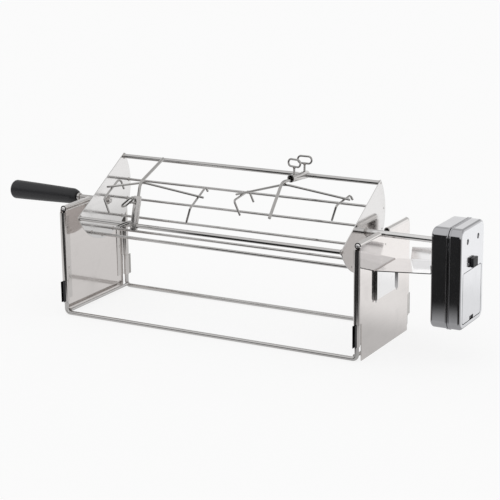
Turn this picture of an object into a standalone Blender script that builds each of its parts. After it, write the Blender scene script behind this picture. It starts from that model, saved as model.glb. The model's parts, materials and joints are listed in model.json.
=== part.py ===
"""Battery rotisserie spit roaster: wire base, two sheet side plates, an open
half-round wire basket on a spit axis with two hold-down forks, a hand grip and
a two-cell gear motor beside a sheet bracket.

Frame: X runs along the spit (handle at -X, motor at +X), Y runs front (-) to
rear (+), Z is up with the ground at 0.  Origin: middle of the lower edge of
the motor-side plate.  The dimensions are laid out from the middle between the
two plates; the whole object moves to its origin at the end.
All dimensions are in millimetres.
"""
from collections import namedtuple
from math import sin, cos, pi, radians, atan2, sqrt

import bmesh
import bpy
from mathutils import Matrix, Vector

for ob in list(bpy.data.objects):
    bpy.data.objects.remove(ob, do_unlink=True)

MM = 0.001                      # metres in a millimetre
X, Y, Z = Vector((1, 0, 0)), Vector((0, 1, 0)), Vector((0, 0, 1))

# ---------------------------------------------------------------- shared dimensions
GAP = 0.3                       # standing gap between separate pieces
PLATE_X = 220.0                 # outer face of each side plate
PLATE_T = 1.0
PLATE_HALF_W = 77.7
TUBE_OD = 8.4                   # rolled edges of the side plates
EDGE_X = PLATE_X - TUBE_OD / 2  # centre line of the rolled edges and the base wires
EDGE_Y = PLATE_HALF_W - TUBE_OD / 2
POST_BOTTOM = 48.0              # lower end of the rolled upright edges
SPIT_Z = 144.75
SPIT = (0.0, SPIT_Z)            # spit axis in (y, z)
SPIT_ORIGIN = (0.0, *SPIT)
SHAFT_R = 3.9
SHAFT_SQUARE = 3.0              # half side of the squared drive end
ROD_R = 3.0                     # the two thick rods along the basket
ROD_T, ROD_N = 63.6, 24.8       # rods across and above the spit, basket frame
BASKET_TILT = radians(30.14)    # rest attitude of the basket about the spit axis

# ---------------------------------------------------------------- finishes
Finish = namedtuple("Finish", "colour roughness metallic")


def metal(colour, roughness):
    return Finish(colour=colour, roughness=roughness, metallic=1.0)


def plastic(colour, roughness):
    return Finish(colour=colour, roughness=roughness, metallic=0.0)


STEEL = (0.62, 0.61, 0.59)
MID_GREY = (0.5, 0.5, 0.5)
SHEET_STEEL = metal(STEEL, roughness=0.22)
WIRE_STEEL = metal(STEEL, roughness=0.2)
BASKET_STEEL = metal(STEEL, roughness=0.18)
SLEEVE_STEEL = metal(STEEL, roughness=0.25)
BASKET_END_STEEL = metal((0.72, 0.71, 0.7), roughness=0.25)
CLIP_STEEL = metal((0.45, 0.44, 0.43), roughness=0.3)
REAR_SHELL_METAL = metal((0.55, 0.55, 0.56), roughness=0.08)
FRONT_SHELL_METAL = metal((0.6, 0.6, 0.61), roughness=0.08)
DOOR_METAL = metal((0.8, 0.8, 0.81), roughness=0.2)
SCREW_METAL = metal(MID_GREY, roughness=0.3)
SOCKET_METAL = metal(MID_GREY, roughness=0.35)
GEARBOX_METAL = metal(MID_GREY, roughness=0.4)
BUSH_BRONZE = metal((0.6, 0.42, 0.2), roughness=0.35)
PINION_BRASS = metal((0.7, 0.55, 0.25), roughness=0.35)
CAN_METAL = metal((0.55, 0.55, 0.57), roughness=0.3)
CONTACT_METAL = metal((0.7, 0.7, 0.68), roughness=0.3)
GRIP_PLASTIC = plastic((0.03, 0.03, 0.035), roughness=0.45)
KNOB_PLASTIC = plastic((0.02, 0.02, 0.022), roughness=0.4)
SWITCH_PLASTIC = plastic((0.05, 0.05, 0.05), roughness=0.5)
GEAR_PLASTIC = plastic((0.85, 0.84, 0.78), roughness=0.5)
CELL_WRAP = Finish(colour=(0.08, 0.08, 0.09), roughness=0.35, metallic=0.3)

parts = bpy.data.collections.new("rotisserie_spit_roaster")
bpy.context.scene.collection.children.link(parts)


def material(name, look):
    made = bpy.data.materials.new(name)
    made.use_nodes = True
    shader = made.node_tree.nodes["Principled BSDF"]
    shader.inputs["Base Color"].default_value = (*look.colour, 1.0)
    shader.inputs["Roughness"].default_value = look.roughness
    shader.inputs["Metallic"].default_value = look.metallic
    return made


def place_origin(ob, point):
    """Move an object's origin to a world point without moving its shape."""
    target = Vector(point) * MM
    ob.data.transform(Matrix.Translation(-target) @ ob.matrix_world)
    ob.matrix_world = Matrix.Translation(target)


def finish(ob, look, origin=None, sharp=35.0):
    """Set origin, shading and the piece's own material; sharp=None leaves the shading."""
    if origin is not None:
        place_origin(ob, origin)
    if sharp is not None:
        ob.data.shade_smooth()
        ob.data.set_sharp_from_angle(angle=radians(sharp))
    ob.data.materials.clear()
    ob.data.materials.append(material(ob.name, look))


# ---------------------------------------------------------------- solids
def add(name, data):
    ob = bpy.data.objects.new(name, data)
    parts.objects.link(ob)
    return ob


def from_bmesh(name, bm):
    mesh = bpy.data.meshes.new(name)
    bm.normal_update()
    bm.to_mesh(mesh)
    bm.free()
    return add(name, mesh)


def to_mesh(ob):
    """Evaluated copy of an object as a welded mesh object; the original goes."""
    bpy.context.view_layer.update()
    depsgraph = bpy.context.evaluated_depsgraph_get()
    mesh = bpy.data.meshes.new_from_object(ob.evaluated_get(depsgraph))
    bm = bmesh.new()
    bm.from_mesh(mesh)
    bmesh.ops.remove_doubles(bm, verts=bm.verts, dist=1e-6)
    bm.to_mesh(mesh)
    bm.free()
    name, world = ob.name, ob.matrix_world.copy()
    bpy.data.objects.remove(ob, do_unlink=True)
    solid = add(name, mesh)
    solid.matrix_world = world
    return solid


def frame(origin, x_axis, y_axis, z_axis):
    """Matrix (metres) with the given axes and origin (mm)."""
    matrix = Matrix((x_axis, y_axis, z_axis)).transposed().to_4x4()
    matrix.translation = [value * MM for value in origin]
    return matrix


def box_bmesh(x_span, y_span, z_span):
    """Cube stretched over three spans; the ends of a span may come in either order."""
    spans = (x_span, y_span, z_span)
    bm = bmesh.new()
    bmesh.ops.create_cube(bm, size=1.0)
    size = Matrix.Diagonal((*(abs(b - a) * MM for a, b in spans), 1))
    centre = Matrix.Translation(Vector([(a + b) / 2 for a, b in spans]) * MM)
    bmesh.ops.transform(bm, matrix=centre @ size, verts=bm.verts)
    return bm


def box(name, x_span, y_span, z_span, bevel=0.0):
    bm = box_bmesh(x_span, y_span, z_span)
    if bevel:
        bmesh.ops.bevel(bm, geom=bm.edges[:], offset=bevel * MM, segments=2,
                        affect='EDGES', profile=0.5)
    return from_bmesh(name, bm)


def cylinder(name, radius, start, end, segments):
    start, end = Vector(start), Vector(end)
    run = end - start
    bm = bmesh.new()
    bmesh.ops.create_cone(bm, cap_ends=True, segments=segments, radius1=radius * MM,
                          radius2=radius * MM, depth=run.length * MM)
    turn = Z.rotation_difference(run.normalized()).to_matrix().to_4x4()
    bmesh.ops.transform(bm, matrix=Matrix.Translation((start + end) / 2 * MM) @ turn,
                        verts=bm.verts)
    return from_bmesh(name, bm)


def x_cylinder(name, radius, x_span, centre, segments):
    """Cylinder along X round a (y, z) centre."""
    return cylinder(name, radius, (x_span[0], *centre), (x_span[1], *centre), segments)


def prism(name, outline, holes, thickness, matrix):
    """Flat outline in local XY with holes, thickened along local Z from 0."""
    curve = bpy.data.curves.new(name, 'CURVE')
    curve.dimensions = '2D'
    curve.fill_mode = 'BOTH'
    curve.extrude = thickness * MM / 2
    for points in [outline, *holes]:
        spline = curve.splines.new('POLY')
        spline.points.add(len(points) - 1)
        for point, (x, y) in zip(spline.points, points):
            point.co = (x * MM, y * MM, 0, 1)
        spline.use_cyclic_u = True
    ob = add(name, curve)
    ob.matrix_world = matrix @ Matrix.Translation((0, 0, thickness * MM / 2))
    ob = to_mesh(ob)
    ob.data.transform(ob.matrix_world)
    if ob.matrix_world.determinant() < 0:
        ob.data.flip_normals()
    ob.matrix_world = Matrix.Identity(4)
    return ob


def sheet(name, outline, x0, thickness, holes=()):
    """Prism with its outline in (y, z), thickened along +X from x0."""
    return prism(name, outline, holes, thickness, frame((x0, 0, 0), Y, Z, X))


def wire(name, points, radius, cyclic=False, resolution=2):
    """Round wire along points."""
    curve = bpy.data.curves.new(name, 'CURVE')
    curve.dimensions = '3D'
    curve.bevel_depth = radius * MM
    curve.bevel_resolution = resolution
    curve.use_fill_caps = True
    curve.twist_mode = 'MINIMUM'
    spline = curve.splines.new('POLY')
    spline.points.add(len(points) - 1)
    for target, (x, y, z) in zip(spline.points, points):
        target.co = (x * MM, y * MM, z * MM, 1)
    spline.use_cyclic_u = cyclic
    return to_mesh(add(name, curve))


def boolean(ob, others, operation):
    """Combine an object with each of the others in turn, using them up."""
    for other in others:
        modifier = ob.modifiers.new(operation.lower(), 'BOOLEAN')
        modifier.operation = operation
        modifier.solver = 'EXACT'
        modifier.object = other
        ob = to_mesh(ob)
        bpy.data.objects.remove(other, do_unlink=True)
    return ob


def fuse(ob, *others):
    return boolean(ob, others, 'UNION')


def cut(ob, *others):
    return boolean(ob, others, 'DIFFERENCE')


# ---------------------------------------------------------------- outlines and paths
def arc(cx, cy, radius, start, end, steps):
    return [(cx + radius * cos(start + (end - start) * i / steps),
             cy + radius * sin(start + (end - start) * i / steps)) for i in range(steps + 1)]


def circle(cx, cy, radius, count):
    return [(cx + radius * cos(2 * pi * i / count), cy + radius * sin(2 * pi * i / count))
            for i in range(count)]


def round_rect(half_width, z0, z1, radius, steps):
    y0, y1 = -half_width, half_width
    out = []
    for cx, cy, start in ((y1 - radius, z1 - radius, 0), (y0 + radius, z1 - radius, pi / 2),
                          (y0 + radius, z0 + radius, pi), (y1 - radius, z0 + radius, 1.5 * pi)):
        out += arc(cx, cy, radius, start, start + pi / 2, steps)
    return out


def fillet(points, radius, steps):
    """Polyline with every inner corner replaced by an arc."""
    out = [Vector(points[0])]
    for before, corner, after in zip(points, points[1:], points[2:]):
        before, corner, after = Vector(before), Vector(corner), Vector(after)
        back, ahead = (before - corner).normalized(), (after - corner).normalized()
        half = back.angle(ahead) / 2
        setback = radius / (sin(half) / cos(half))
        setback = min(setback, (before - corner).length * 0.49, (after - corner).length * 0.49)
        arc_r = setback * sin(half) / cos(half)
        centre = corner + (back + ahead).normalized() * arc_r / sin(half)
        start = corner + back * setback - centre
        end = corner + ahead * setback - centre
        sweep = start.angle(end)
        for i in range(steps + 1):
            share = i / steps
            out.append(centre + (start * sin((1 - share) * sweep) + end * sin(share * sweep))
                       / sin(sweep))
    out.append(Vector(points[-1]))
    return out


def basket_yz(across, up):
    """Basket frame (across, up from the spit axis) to world (y, z)."""
    return (across * cos(BASKET_TILT) - up * sin(BASKET_TILT),
            SPIT_Z + across * sin(BASKET_TILT) + up * cos(BASKET_TILT))


# ================================================================ side plates
PLATE_H = 150.0
TUBE_WALL = 0.8
TUBE_SEGMENTS = 16
POST_TOP = 141.3
HEM_Z = PLATE_H - TUBE_OD / 2   # centre line of the rolled top edge
HEM_START_Y = 12.5              # half width of the opening between the top hems
HEM_END_Y = EDGE_Y - 1.6
TOP_CORNER_R = 2.0
FOOT_CORNER_R = 1.5
SHOULDER_Z = POST_BOTTOM - 0.4  # the plate is full width below this height
HOLE_DROP, HOLE_R = 13.0, 1.3   # small hole under the spit slot
STRIP_Y = (EDGE_Y - TUBE_OD / 2 - 13.0, EDGE_Y - TUBE_OD / 2 + 1.2)
STRIP_Z = (20.0, 134.0)         # thin strip on the inner face beside each post


def side_plate_outline():
    """Front and rear halves round a slot for the spit that opens upwards."""
    slot = SHAFT_R + GAP
    half = [(0, SPIT_Z - slot)]
    half += arc(0, SPIT_Z, slot, -pi / 2, 0, 5)[1:]
    half += [(HEM_START_Y - 3.0, HEM_Z - 1.0), (HEM_START_Y - 1.0, HEM_Z)]
    half += arc(EDGE_Y - TOP_CORNER_R, HEM_Z - TOP_CORNER_R, TOP_CORNER_R, pi / 2, 0, 3)
    half += [(EDGE_Y, SHOULDER_Z), (PLATE_HALF_W, SHOULDER_Z)]
    half += arc(PLATE_HALF_W - FOOT_CORNER_R, FOOT_CORNER_R, FOOT_CORNER_R, 0, -pi / 2, 3)
    return [(-y, z) for y, z in reversed(half)][:-1] + half


def tube(name, cx, cy, length, matrix):
    outer_r = TUBE_OD / 2
    return prism(name, circle(cx, cy, outer_r, TUBE_SEGMENTS),
                 [circle(cx, cy, outer_r - TUBE_WALL, TUBE_SEGMENTS)], length, matrix)


def side_plate(name, side):
    outer_x, inner_x = side * PLATE_X, side * (PLATE_X - PLATE_T)
    plate = sheet(name, side_plate_outline(), min(outer_x, inner_x), PLATE_T,
                  [circle(0, SPIT_Z - HOLE_DROP, HOLE_R, 12)])
    tube_x = side * EDGE_X
    for end in (-1, 1):
        post = tube("post", tube_x, end * EDGE_Y, POST_TOP - POST_BOTTOM,
                    frame((0, 0, POST_BOTTOM), X, Y, Z))
        y0, y1 = sorted((end * HEM_START_Y, end * HEM_END_Y))
        hem = tube("hem", tube_x, -HEM_Z, y1 - y0, frame((0, y0, 0), X, -Z, Y))
        strip = box("strip", (inner_x - side * 0.8, inner_x + side * 0.2),
                    [end * y for y in STRIP_Y], STRIP_Z)
        plate = fuse(plate, post, hem, strip)
    for end in (-1, 1):         # windows for the corner clips
        window = box("window", (side * (PLATE_X - 3.0), side * (PLATE_X + 2.0)),
                     (end * (EDGE_Y - 4.3), end * (PLATE_HALF_W + 3.0)),
                     (-2.0, POST_BOTTOM - 0.1))
        plate = cut(plate, window)
    finish(plate, SHEET_STEEL)


side_plate("side_plate_left", -1)
side_plate("side_plate_right", 1)

# ================================================================ wire base
BASE_WIRE_R = 2.8
BASE_WIRE_TOP = 92.0
BASE_WIRE_BEND_R = 5.6
CROSS_WIRE_R = 2.2
CROSS_X, CROSS_Z = 212.6, 5.3
CLIP_Z0, CLIP_Z1 = 19.0, 47.4
CLIP_T = 0.7
CLIP_HALF_OPENING = 0.42        # radians left open each side of the leaf direction
CLIP_LEAF_END = 8.6
CLIP_LEAF_FLARE = 0.05


def base_wire(name, end):
    path = [(-EDGE_X, end * EDGE_Y, BASE_WIRE_TOP), (-EDGE_X, end * EDGE_Y, BASE_WIRE_R),
            (EDGE_X, end * EDGE_Y, BASE_WIRE_R), (EDGE_X, end * EDGE_Y, BASE_WIRE_TOP)]
    finish(wire(name, fillet(path, BASE_WIRE_BEND_R, 5), BASE_WIRE_R), WIRE_STEEL, sharp=50)


def cross_wire(name, side):
    end_y = EDGE_Y - BASE_WIRE_R - GAP
    path = [(side * CROSS_X, -end_y, CROSS_Z), (side * CROSS_X, end_y, CROSS_Z)]
    finish(wire(name, path, CROSS_WIRE_R), WIRE_STEEL, sharp=50)


def corner_clip(name, side, end):
    """Strip bent round an upright, open outwards along Y with two leaves."""
    inner_r = BASE_WIRE_R + GAP
    outer_r = inner_r + CLIP_T
    start = pi / 2 - CLIP_HALF_OPENING
    outer_leaf = outer_r * cos(start)
    inner_leaf = inner_r * cos(start) + CLIP_LEAF_FLARE
    outline = arc(0, 0, outer_r, start, -pi - start, 14)
    outline += [(-outer_leaf, CLIP_LEAF_END), (-inner_leaf, CLIP_LEAF_END)]
    outline += arc(0, 0, inner_r, -pi - start, start, 14)
    outline += [(inner_leaf, CLIP_LEAF_END), (outer_leaf, CLIP_LEAF_END)]
    corner = frame((side * EDGE_X, end * EDGE_Y, CLIP_Z0), X * side, Y * end, Z)
    finish(prism(name, outline, [], CLIP_Z1 - CLIP_Z0, corner), CLIP_STEEL)


for end_name, end in (("front", -1), ("rear", 1)):
    base_wire("base_wire_" + end_name, end)
for side_name, side in (("left", -1), ("right", 1)):
    cross_wire("cross_wire_" + side_name, side)
    for end_name, end in (("front", -1), ("rear", 1)):
        corner_clip("corner_clip_%s_%s" % (side_name, end_name), side, end)

# ================================================================ motor bracket
BRACKET_X = PLATE_X + GAP
BRACKET_T = 1.2
BRACKET_HALF_W = 32.0
BRACKET_Z0, BRACKET_Z1 = 67.0, 106.0
SHELF_L = 74.9
SHELF_TILT = radians(4.3)
REAR_FLANGE_START = 20.5        # along the shelf
REAR_FLANGE_H = 15.0
REAR_FLANGE_LEAN = radians(25.0)
END_FLANGE_H = 9.0


def motor_bracket():
    """Upright leg on the plate, a rising shelf, and flanges on both."""
    half = BRACKET_HALF_W
    along, up = cos(SHELF_TILT), sin(SHELF_TILT)
    shelf_frame = frame((BRACKET_X, 0, BRACKET_Z1), Vector((along, 0, up)), Y,
                        Vector((-up, 0, along)))
    leg = box("motor_bracket", (BRACKET_X, BRACKET_X + BRACKET_T), (-half, half),
              (BRACKET_Z0, BRACKET_Z1))
    shelf = box("shelf", (0.0, SHELF_L), (-half, half), (-BRACKET_T, 0))
    shelf.data.transform(shelf_frame)
    rear_flange = box("rear_flange", (REAR_FLANGE_START, SHELF_L - 0.2), (-BRACKET_T, 0.0),
                      (-BRACKET_T / 2, REAR_FLANGE_H))
    rear_flange.data.transform(shelf_frame @ Matrix.Translation((0, half * MM, 0))
                               @ Matrix.Rotation(-REAR_FLANGE_LEAN, 4, 'X'))
    end_flange = box("end_flange", (SHELF_L - BRACKET_T, SHELF_L), (-half + 1.0, half - 0.4),
                     (-BRACKET_T / 2, END_FLANGE_H))
    end_flange.data.transform(shelf_frame)
    bracket = fuse(leg, shelf, rear_flange, end_flange)
    for end in (-1, 1):
        y_span = (end * half, end * (half - BRACKET_T))
        flange = box("flange", (BRACKET_X + BRACKET_T / 2, BRACKET_X + 3.5), y_span,
                     (BRACKET_Z0 + 0.8, BRACKET_Z1 - BRACKET_T / 2))
        tip = box("tip", (BRACKET_X + 1.1, BRACKET_X + 2.5), y_span,
                  (BRACKET_Z0 - 2.2, BRACKET_Z0 + 3.0))
        bracket = fuse(bracket, flange, tip)
    finish(bracket, SHEET_STEEL)


motor_bracket()

# ================================================================ basket
BASKET_END_X = 192.35           # inner face of each basket end plate
BASKET_END_T = 1.2
BASKET_CENTRE = 19.8            # circle centre above the axis, basket frame
BASKET_R = 66.5                 # end plate radius
BASKET_CHORD = 28.3             # straight edge above the axis, basket frame
BASKET_WIRE_COUNT = 6
BASKET_WIRE_RING = 61.5         # radius of the row of thin wires
BASKET_WIRE_R = 1.75
BASKET_WIRE_STEP = 24.6         # degrees between thin wires
BASKET_WIRE_START = 3.9         # degrees added to every step


def basket_end(name, x0):
    chord = BASKET_CHORD - BASKET_CENTRE
    start = atan2(chord, sqrt(BASKET_R ** 2 - chord ** 2))
    outline = [basket_yz(across, up)
               for across, up in arc(0, BASKET_CENTRE, BASKET_R, start, -pi - start, 40)]
    plate = sheet(name, outline, x0, BASKET_END_T, [circle(*SPIT, SHAFT_R + GAP, 20)])
    finish(plate, BASKET_END_STEEL, SPIT_ORIGIN)


def basket_bar(name, across, up, radius, segments):
    """Straight rod or wire between the two end plates."""
    end = BASKET_END_X - GAP
    bar = x_cylinder(name, radius, (-end, end), basket_yz(across, up), segments)
    finish(bar, BASKET_STEEL, SPIT_ORIGIN, sharp=50)


basket_end("basket_end_left", -BASKET_END_X - BASKET_END_T)
basket_end("basket_end_right", BASKET_END_X)
basket_bar("basket_rod_rear", ROD_T, ROD_N, ROD_R, 16)
basket_bar("basket_rod_front", -ROD_T, ROD_N, ROD_R, 16)
for i in range(1, BASKET_WIRE_COUNT + 1):
    angle = -radians(BASKET_WIRE_STEP * i + BASKET_WIRE_START)
    basket_bar("basket_wire_%d" % i, BASKET_WIRE_RING * cos(angle),
               BASKET_CENTRE + BASKET_WIRE_RING * sin(angle), BASKET_WIRE_R, 12)

# ================================================================ handle and drive shaft
SPIT_INNER_X = 188.4            # ends of handle rod and drive shaft inside the basket
HANDLE_ROD_END = -278.0
GRIP_X0, GRIP_X1 = -242.5, -350.0   # inner and outer end
GRIP_R0, GRIP_R1 = 10.2, 13.0
GRIP_L = GRIP_X0 - GRIP_X1
GRIP_DOME_R = 4.5
FERRULE_R, FERRULE_L = 5.6, 4.2
SHAFT_ROUND_END = 290.0
SQUARE_X = (286.0, 308.5)


def handle_rod():
    rod = x_cylinder("handle_rod", SHAFT_R - 0.2, (HANDLE_ROD_END, -SPIT_INNER_X), SPIT, 20)
    finish(rod, WIRE_STEEL, SPIT_ORIGIN, sharp=50)


def handle_ferrule():
    ferrule = sheet("handle_ferrule", circle(*SPIT, FERRULE_R, 20), GRIP_X0 + GAP, FERRULE_L,
                    [circle(*SPIT, SHAFT_R, 20)])
    finish(ferrule, WIRE_STEEL, SPIT_ORIGIN)


def handle_grip():
    # (radius, distance from the inner end), from the rounded outer end inwards
    profile = [(0.0, GRIP_L)]
    for i in range(6):
        angle = pi / 2 * i / 5
        profile.append((GRIP_R1 - GRIP_DOME_R + GRIP_DOME_R * sin(angle),
                        GRIP_L - GRIP_DOME_R + GRIP_DOME_R * cos(angle)))
    profile += [(GRIP_R1 - 0.1, GRIP_L - 22.0), (GRIP_R1 - 1.3, GRIP_L - 60.0),
                (GRIP_R0 + 0.5, 9.0), (GRIP_R0 - 0.1, 5.0), (GRIP_R0 - 2.2, 0.0), (0.0, 0.0)]
    bm = bmesh.new()
    verts = [bm.verts.new((radius * MM, 0, z * MM)) for radius, z in profile]
    for pair in zip(verts, verts[1:]):
        bm.edges.new(pair)
    grip = from_bmesh("handle_grip", bm)
    screw = grip.modifiers.new("turn", 'SCREW')
    screw.angle = 2 * pi
    screw.steps = screw.render_steps = 22
    screw.use_merge_vertices = True
    screw.merge_threshold = 1e-5
    # local +Z points to the outer end, along world -X
    grip.matrix_world = frame((GRIP_X0, *SPIT), Y, -Z, -X)
    bore = x_cylinder("bore", SHAFT_R + 0.1, (GRIP_X0 + 5, HANDLE_ROD_END - 0.5), SPIT, 20)
    finish(cut(to_mesh(grip), bore), GRIP_PLASTIC, SPIT_ORIGIN, sharp=40)


def drive_shaft():
    shaft = x_cylinder("drive_shaft", SHAFT_R, (SPIT_INNER_X, SHAFT_ROUND_END), SPIT, 20)
    square = box("square", SQUARE_X, (-SHAFT_SQUARE, SHAFT_SQUARE),
                 (SPIT_Z - SHAFT_SQUARE, SPIT_Z + SHAFT_SQUARE))
    finish(fuse(shaft, square), WIRE_STEEL, SPIT_ORIGIN)


handle_rod()
handle_ferrule()
handle_grip()
drive_shaft()

# ================================================================ hold-down forks
SLEEVE_R, SLEEVE_BORE = 5.0, 3.7
SLEEVE_BACK, SLEEVE_FRONT = -7.0, 38.5
SCREW_R = 1.5
BAR_SCREW_AT = SLEEVE_FRONT - 9.5
RING_HALF_W, RING_HALF_H, RING_WIRE = 10.0, 4.6, 1.3
BAR_R = 2.0
BAR_DROP = 1.4                  # bar centre line below the sleeve's
BAR_START = 15.0
BAR_BEND = radians(48.0)
BAR_BEND_R = 16.0
BAR_BEND_STEPS = 7
BAR_LEG = 48.0
SPREAD_R = 1.45
SPREAD_HALF = 82.0
SPREAD_DROP = 27.0
SPREAD_BEND_R = 24.0
CLAW_R = 1.4
CLAW_AT = 74.0                  # along X from the middle of the spreader
CLAW_HALF = 20.5
CLAW_BEND_R = 4.0
CLAW_PRONG, CLAW_PRONG_REAR, CLAW_STUB = 21.0, 16.5, 7.0
STUB_DIRECTION = (0.45, 0, -0.89)


def ring_screw(name, ring_z):
    """Thumb screw in its own frame: tip at 0, shank along Z up to a ring centred at ring_z."""
    side = RING_HALF_W - RING_HALF_H
    ring_path = (arc(side, ring_z, RING_HALF_H, -pi / 2, pi / 2, 6)
                 + arc(-side, ring_z, RING_HALF_H, pi / 2, 3 * pi / 2, 6))
    ring = wire(name, [(x, 0, z) for x, z in ring_path], RING_WIRE, cyclic=True, resolution=1)
    shank = cylinder("shank", SCREW_R, (0, 0, 0), (0, 0, ring_z - RING_HALF_H + 0.4), 12)
    return fuse(ring, shank)


class Fork:
    """Hold-down fork on a basket rod.  Angles are in degrees.

    x, rod: place along the spit, and the rod in basket (across, up).
    sleeve_angle: direction of the sleeve in the Y-Z plane from +Y.
    screw_side: +1 or -1, which side of the sleeve the screws stand on.
    bar_reach: straight bar beyond the sleeve.
    weld_angle: how far round the bar's bend the spreader is welded.
    spread_angle: turn of the spreader's drop in the Y-Z plane.
    claw_angle: direction of the claws in the Y-Z plane from +Y.
    roll: turn of bar, spreader and claws about the bar.
    rod_ring, bar_ring: (ring height, ring turn) of the two thumb screws.
    """

    def __init__(self, tag, x, rod, sleeve_angle, screw_side, bar_reach, weld_angle,
                 spread_angle, claw_angle, roll, rod_ring, bar_ring):
        angle = radians(sleeve_angle)
        self.tag = tag
        self.along = Vector((0, cos(angle), sin(angle)))
        self.up = Vector((0, -sin(angle), cos(angle))) * screw_side
        self.origin = Vector((x, *basket_yz(*rod)))
        self.rod_ring, self.bar_ring = rod_ring, bar_ring
        pivot = self.point(0, -BAR_DROP)
        self.roll = (Matrix.Translation(pivot) @ Matrix.Rotation(radians(roll), 4, self.along)
                     @ Matrix.Translation(-pivot))
        self.bend_start = SLEEVE_FRONT + bar_reach
        self.sleeve()
        self.screws()
        self.bar()
        self.spreader_and_claws(radians(weld_angle), radians(spread_angle), radians(claw_angle))

    def point(self, along, up):
        return self.origin + self.along * along + self.up * up

    def bend_point(self, angle):
        """Point on the bar's bend, centred below the end of the straight part."""
        return self.point(self.bend_start + BAR_BEND_R * sin(angle),
                          -BAR_DROP - BAR_BEND_R + BAR_BEND_R * cos(angle))

    def rolled_wire(self, part, path, radius):
        made = wire("fork_%s_%s" % (self.tag, part), [self.roll @ p for p in path], radius)
        finish(made, WIRE_STEEL, self.origin, sharp=50)

    def sleeve(self):
        """Tube with a cross bore for the rod and two screw holes."""
        point = self.point
        tube_solid = cylinder("fork_%s_sleeve" % self.tag, SLEEVE_R, point(SLEEVE_BACK, 0),
                              point(SLEEVE_FRONT, 0), 18)
        bore = cylinder("bore", SLEEVE_BORE, point(SLEEVE_BACK - 2, 0),
                        point(SLEEVE_FRONT + 2, 0), 18)
        cross = cylinder("cross", ROD_R + GAP, self.origin + X * -9, self.origin + X * 9, 16)
        holes = [cylinder("hole", SCREW_R + GAP, point(at, 1.5), point(at, 9), 12)
                 for at in (0, BAR_SCREW_AT)]
        finish(cut(tube_solid, bore, cross, *holes), SLEEVE_STEEL, self.origin)

    def screws(self):
        for kind, at, tip, (ring_z, turn) in (
                ("rod", 0.0, ROD_R + GAP, self.rod_ring),
                ("bar", BAR_SCREW_AT, BAR_R - BAR_DROP + GAP, self.bar_ring)):
            screw = ring_screw("fork_%s_%s_screw" % (self.tag, kind), ring_z)
            across = X * cos(radians(turn)) + self.along * sin(radians(turn))
            screw.matrix_world = frame(self.point(at, tip), across, self.up.cross(across),
                                       self.up)
            finish(screw, WIRE_STEEL, sharp=50)

    def bar(self):
        """Straight in the sleeve, then an easy bend away from the screws."""
        path = [self.point(BAR_START, -BAR_DROP), self.point(self.bend_start, -BAR_DROP)]
        path += [self.bend_point(BAR_BEND * i / BAR_BEND_STEPS)
                 for i in range(1, BAR_BEND_STEPS + 1)]
        leg = self.along * cos(BAR_BEND) - self.up * sin(BAR_BEND)
        path.append(path[-1] + leg * BAR_LEG)
        self.rolled_wire("bar", path, BAR_R)

    def spreader_and_claws(self, weld, spread, claw):
        """Wide V wire crossing the inside of the bend, with a U-shaped claw under each end."""
        inward = (-(self.along * sin(weld)) - self.up * cos(weld)).normalized()
        centre = self.bend_point(weld) + inward * (BAR_R + SPREAD_R + GAP)
        drop = -(self.along * sin(spread) + self.up * cos(spread))
        ends = {side: centre + X * side * SPREAD_HALF + drop * SPREAD_DROP for side in (-1, 1)}
        path = fillet([ends[-1], centre + inward * 0.2, ends[1]], SPREAD_BEND_R, 4)
        self.rolled_wire("spreader", path, SPREAD_R)

        rearward = Vector((0, cos(claw), sin(claw)))
        for side, side_name in ((-1, "left"), (1, "right")):
            middle = centre + X * side * CLAW_AT + drop * SPREAD_DROP * (CLAW_AT / SPREAD_HALF)
            below = rearward.cross((ends[side] - centre).normalized()).normalized()
            if below.z > 0:
                below = -below
            middle = middle + below * (SPREAD_R + CLAW_R + GAP)
            prong = Vector((-side * 0.36, 0, -0.93)).normalized()
            # the claw away from the grip ends in a short stub at the rear
            if side < 0:
                rear_prong = prong * CLAW_PRONG_REAR
            else:
                rear_prong = Vector(STUB_DIRECTION).normalized() * CLAW_STUB
            front, rear = middle - rearward * CLAW_HALF, middle + rearward * CLAW_HALF
            path = [front + prong * CLAW_PRONG, front, rear, rear + rear_prong]
            self.rolled_wire("claw_" + side_name, fillet(path, CLAW_BEND_R, 3), CLAW_R)


Fork("right", x=85.0, rod=(ROD_T, ROD_N), sleeve_angle=176.0, screw_side=-1, bar_reach=15.5,
     weld_angle=2.0, spread_angle=44.7, claw_angle=6.4, roll=3.4,
     rod_ring=(16.5, 0.0), bar_ring=(18.0, 14.0))
Fork("left", x=-107.5, rod=(-ROD_T, ROD_N), sleeve_angle=73.0, screw_side=1, bar_reach=10.5,
     weld_angle=40.0, spread_angle=22.0, claw_angle=32.0, roll=-7.5,
     rod_ring=(21.0, 25.0), bar_ring=(21.0, 43.0))

# ================================================================ motor case
CASE_X0, CASE_SEAM, CASE_X1 = 296.0, 318.5, 335.0
CASE_HALF_W = 38.0
CASE_Z0, CASE_Z1 = 44.0, 170.0
CASE_WALL = 1.6
CASE_CORNER = 11.0              # bevel of the edges along X
CASE_EDGE = 3.6                 # bevel round the closed wall
RIB_Z = (113.4, 115.0)
BUSH_HOLE_R = 9.8
BOSS_R = 4.4
DOOR_HALF_W, DOOR_Z0, DOOR_Z1 = 30.0, 51.0, 115.0
DOOR_CORNER = 4.0
SWITCH_Z = 123.0
KNOB_HALF_W = 7.5
GROOVE_PITCH, GROOVE_HALF_W = 2.4, 0.45
CASE_SCREW_Y, CASE_SCREW_Z = 16.8, 152.0
SLOT_HALF_L, SLOT_HALF_W = 2.0, 0.35


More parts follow.
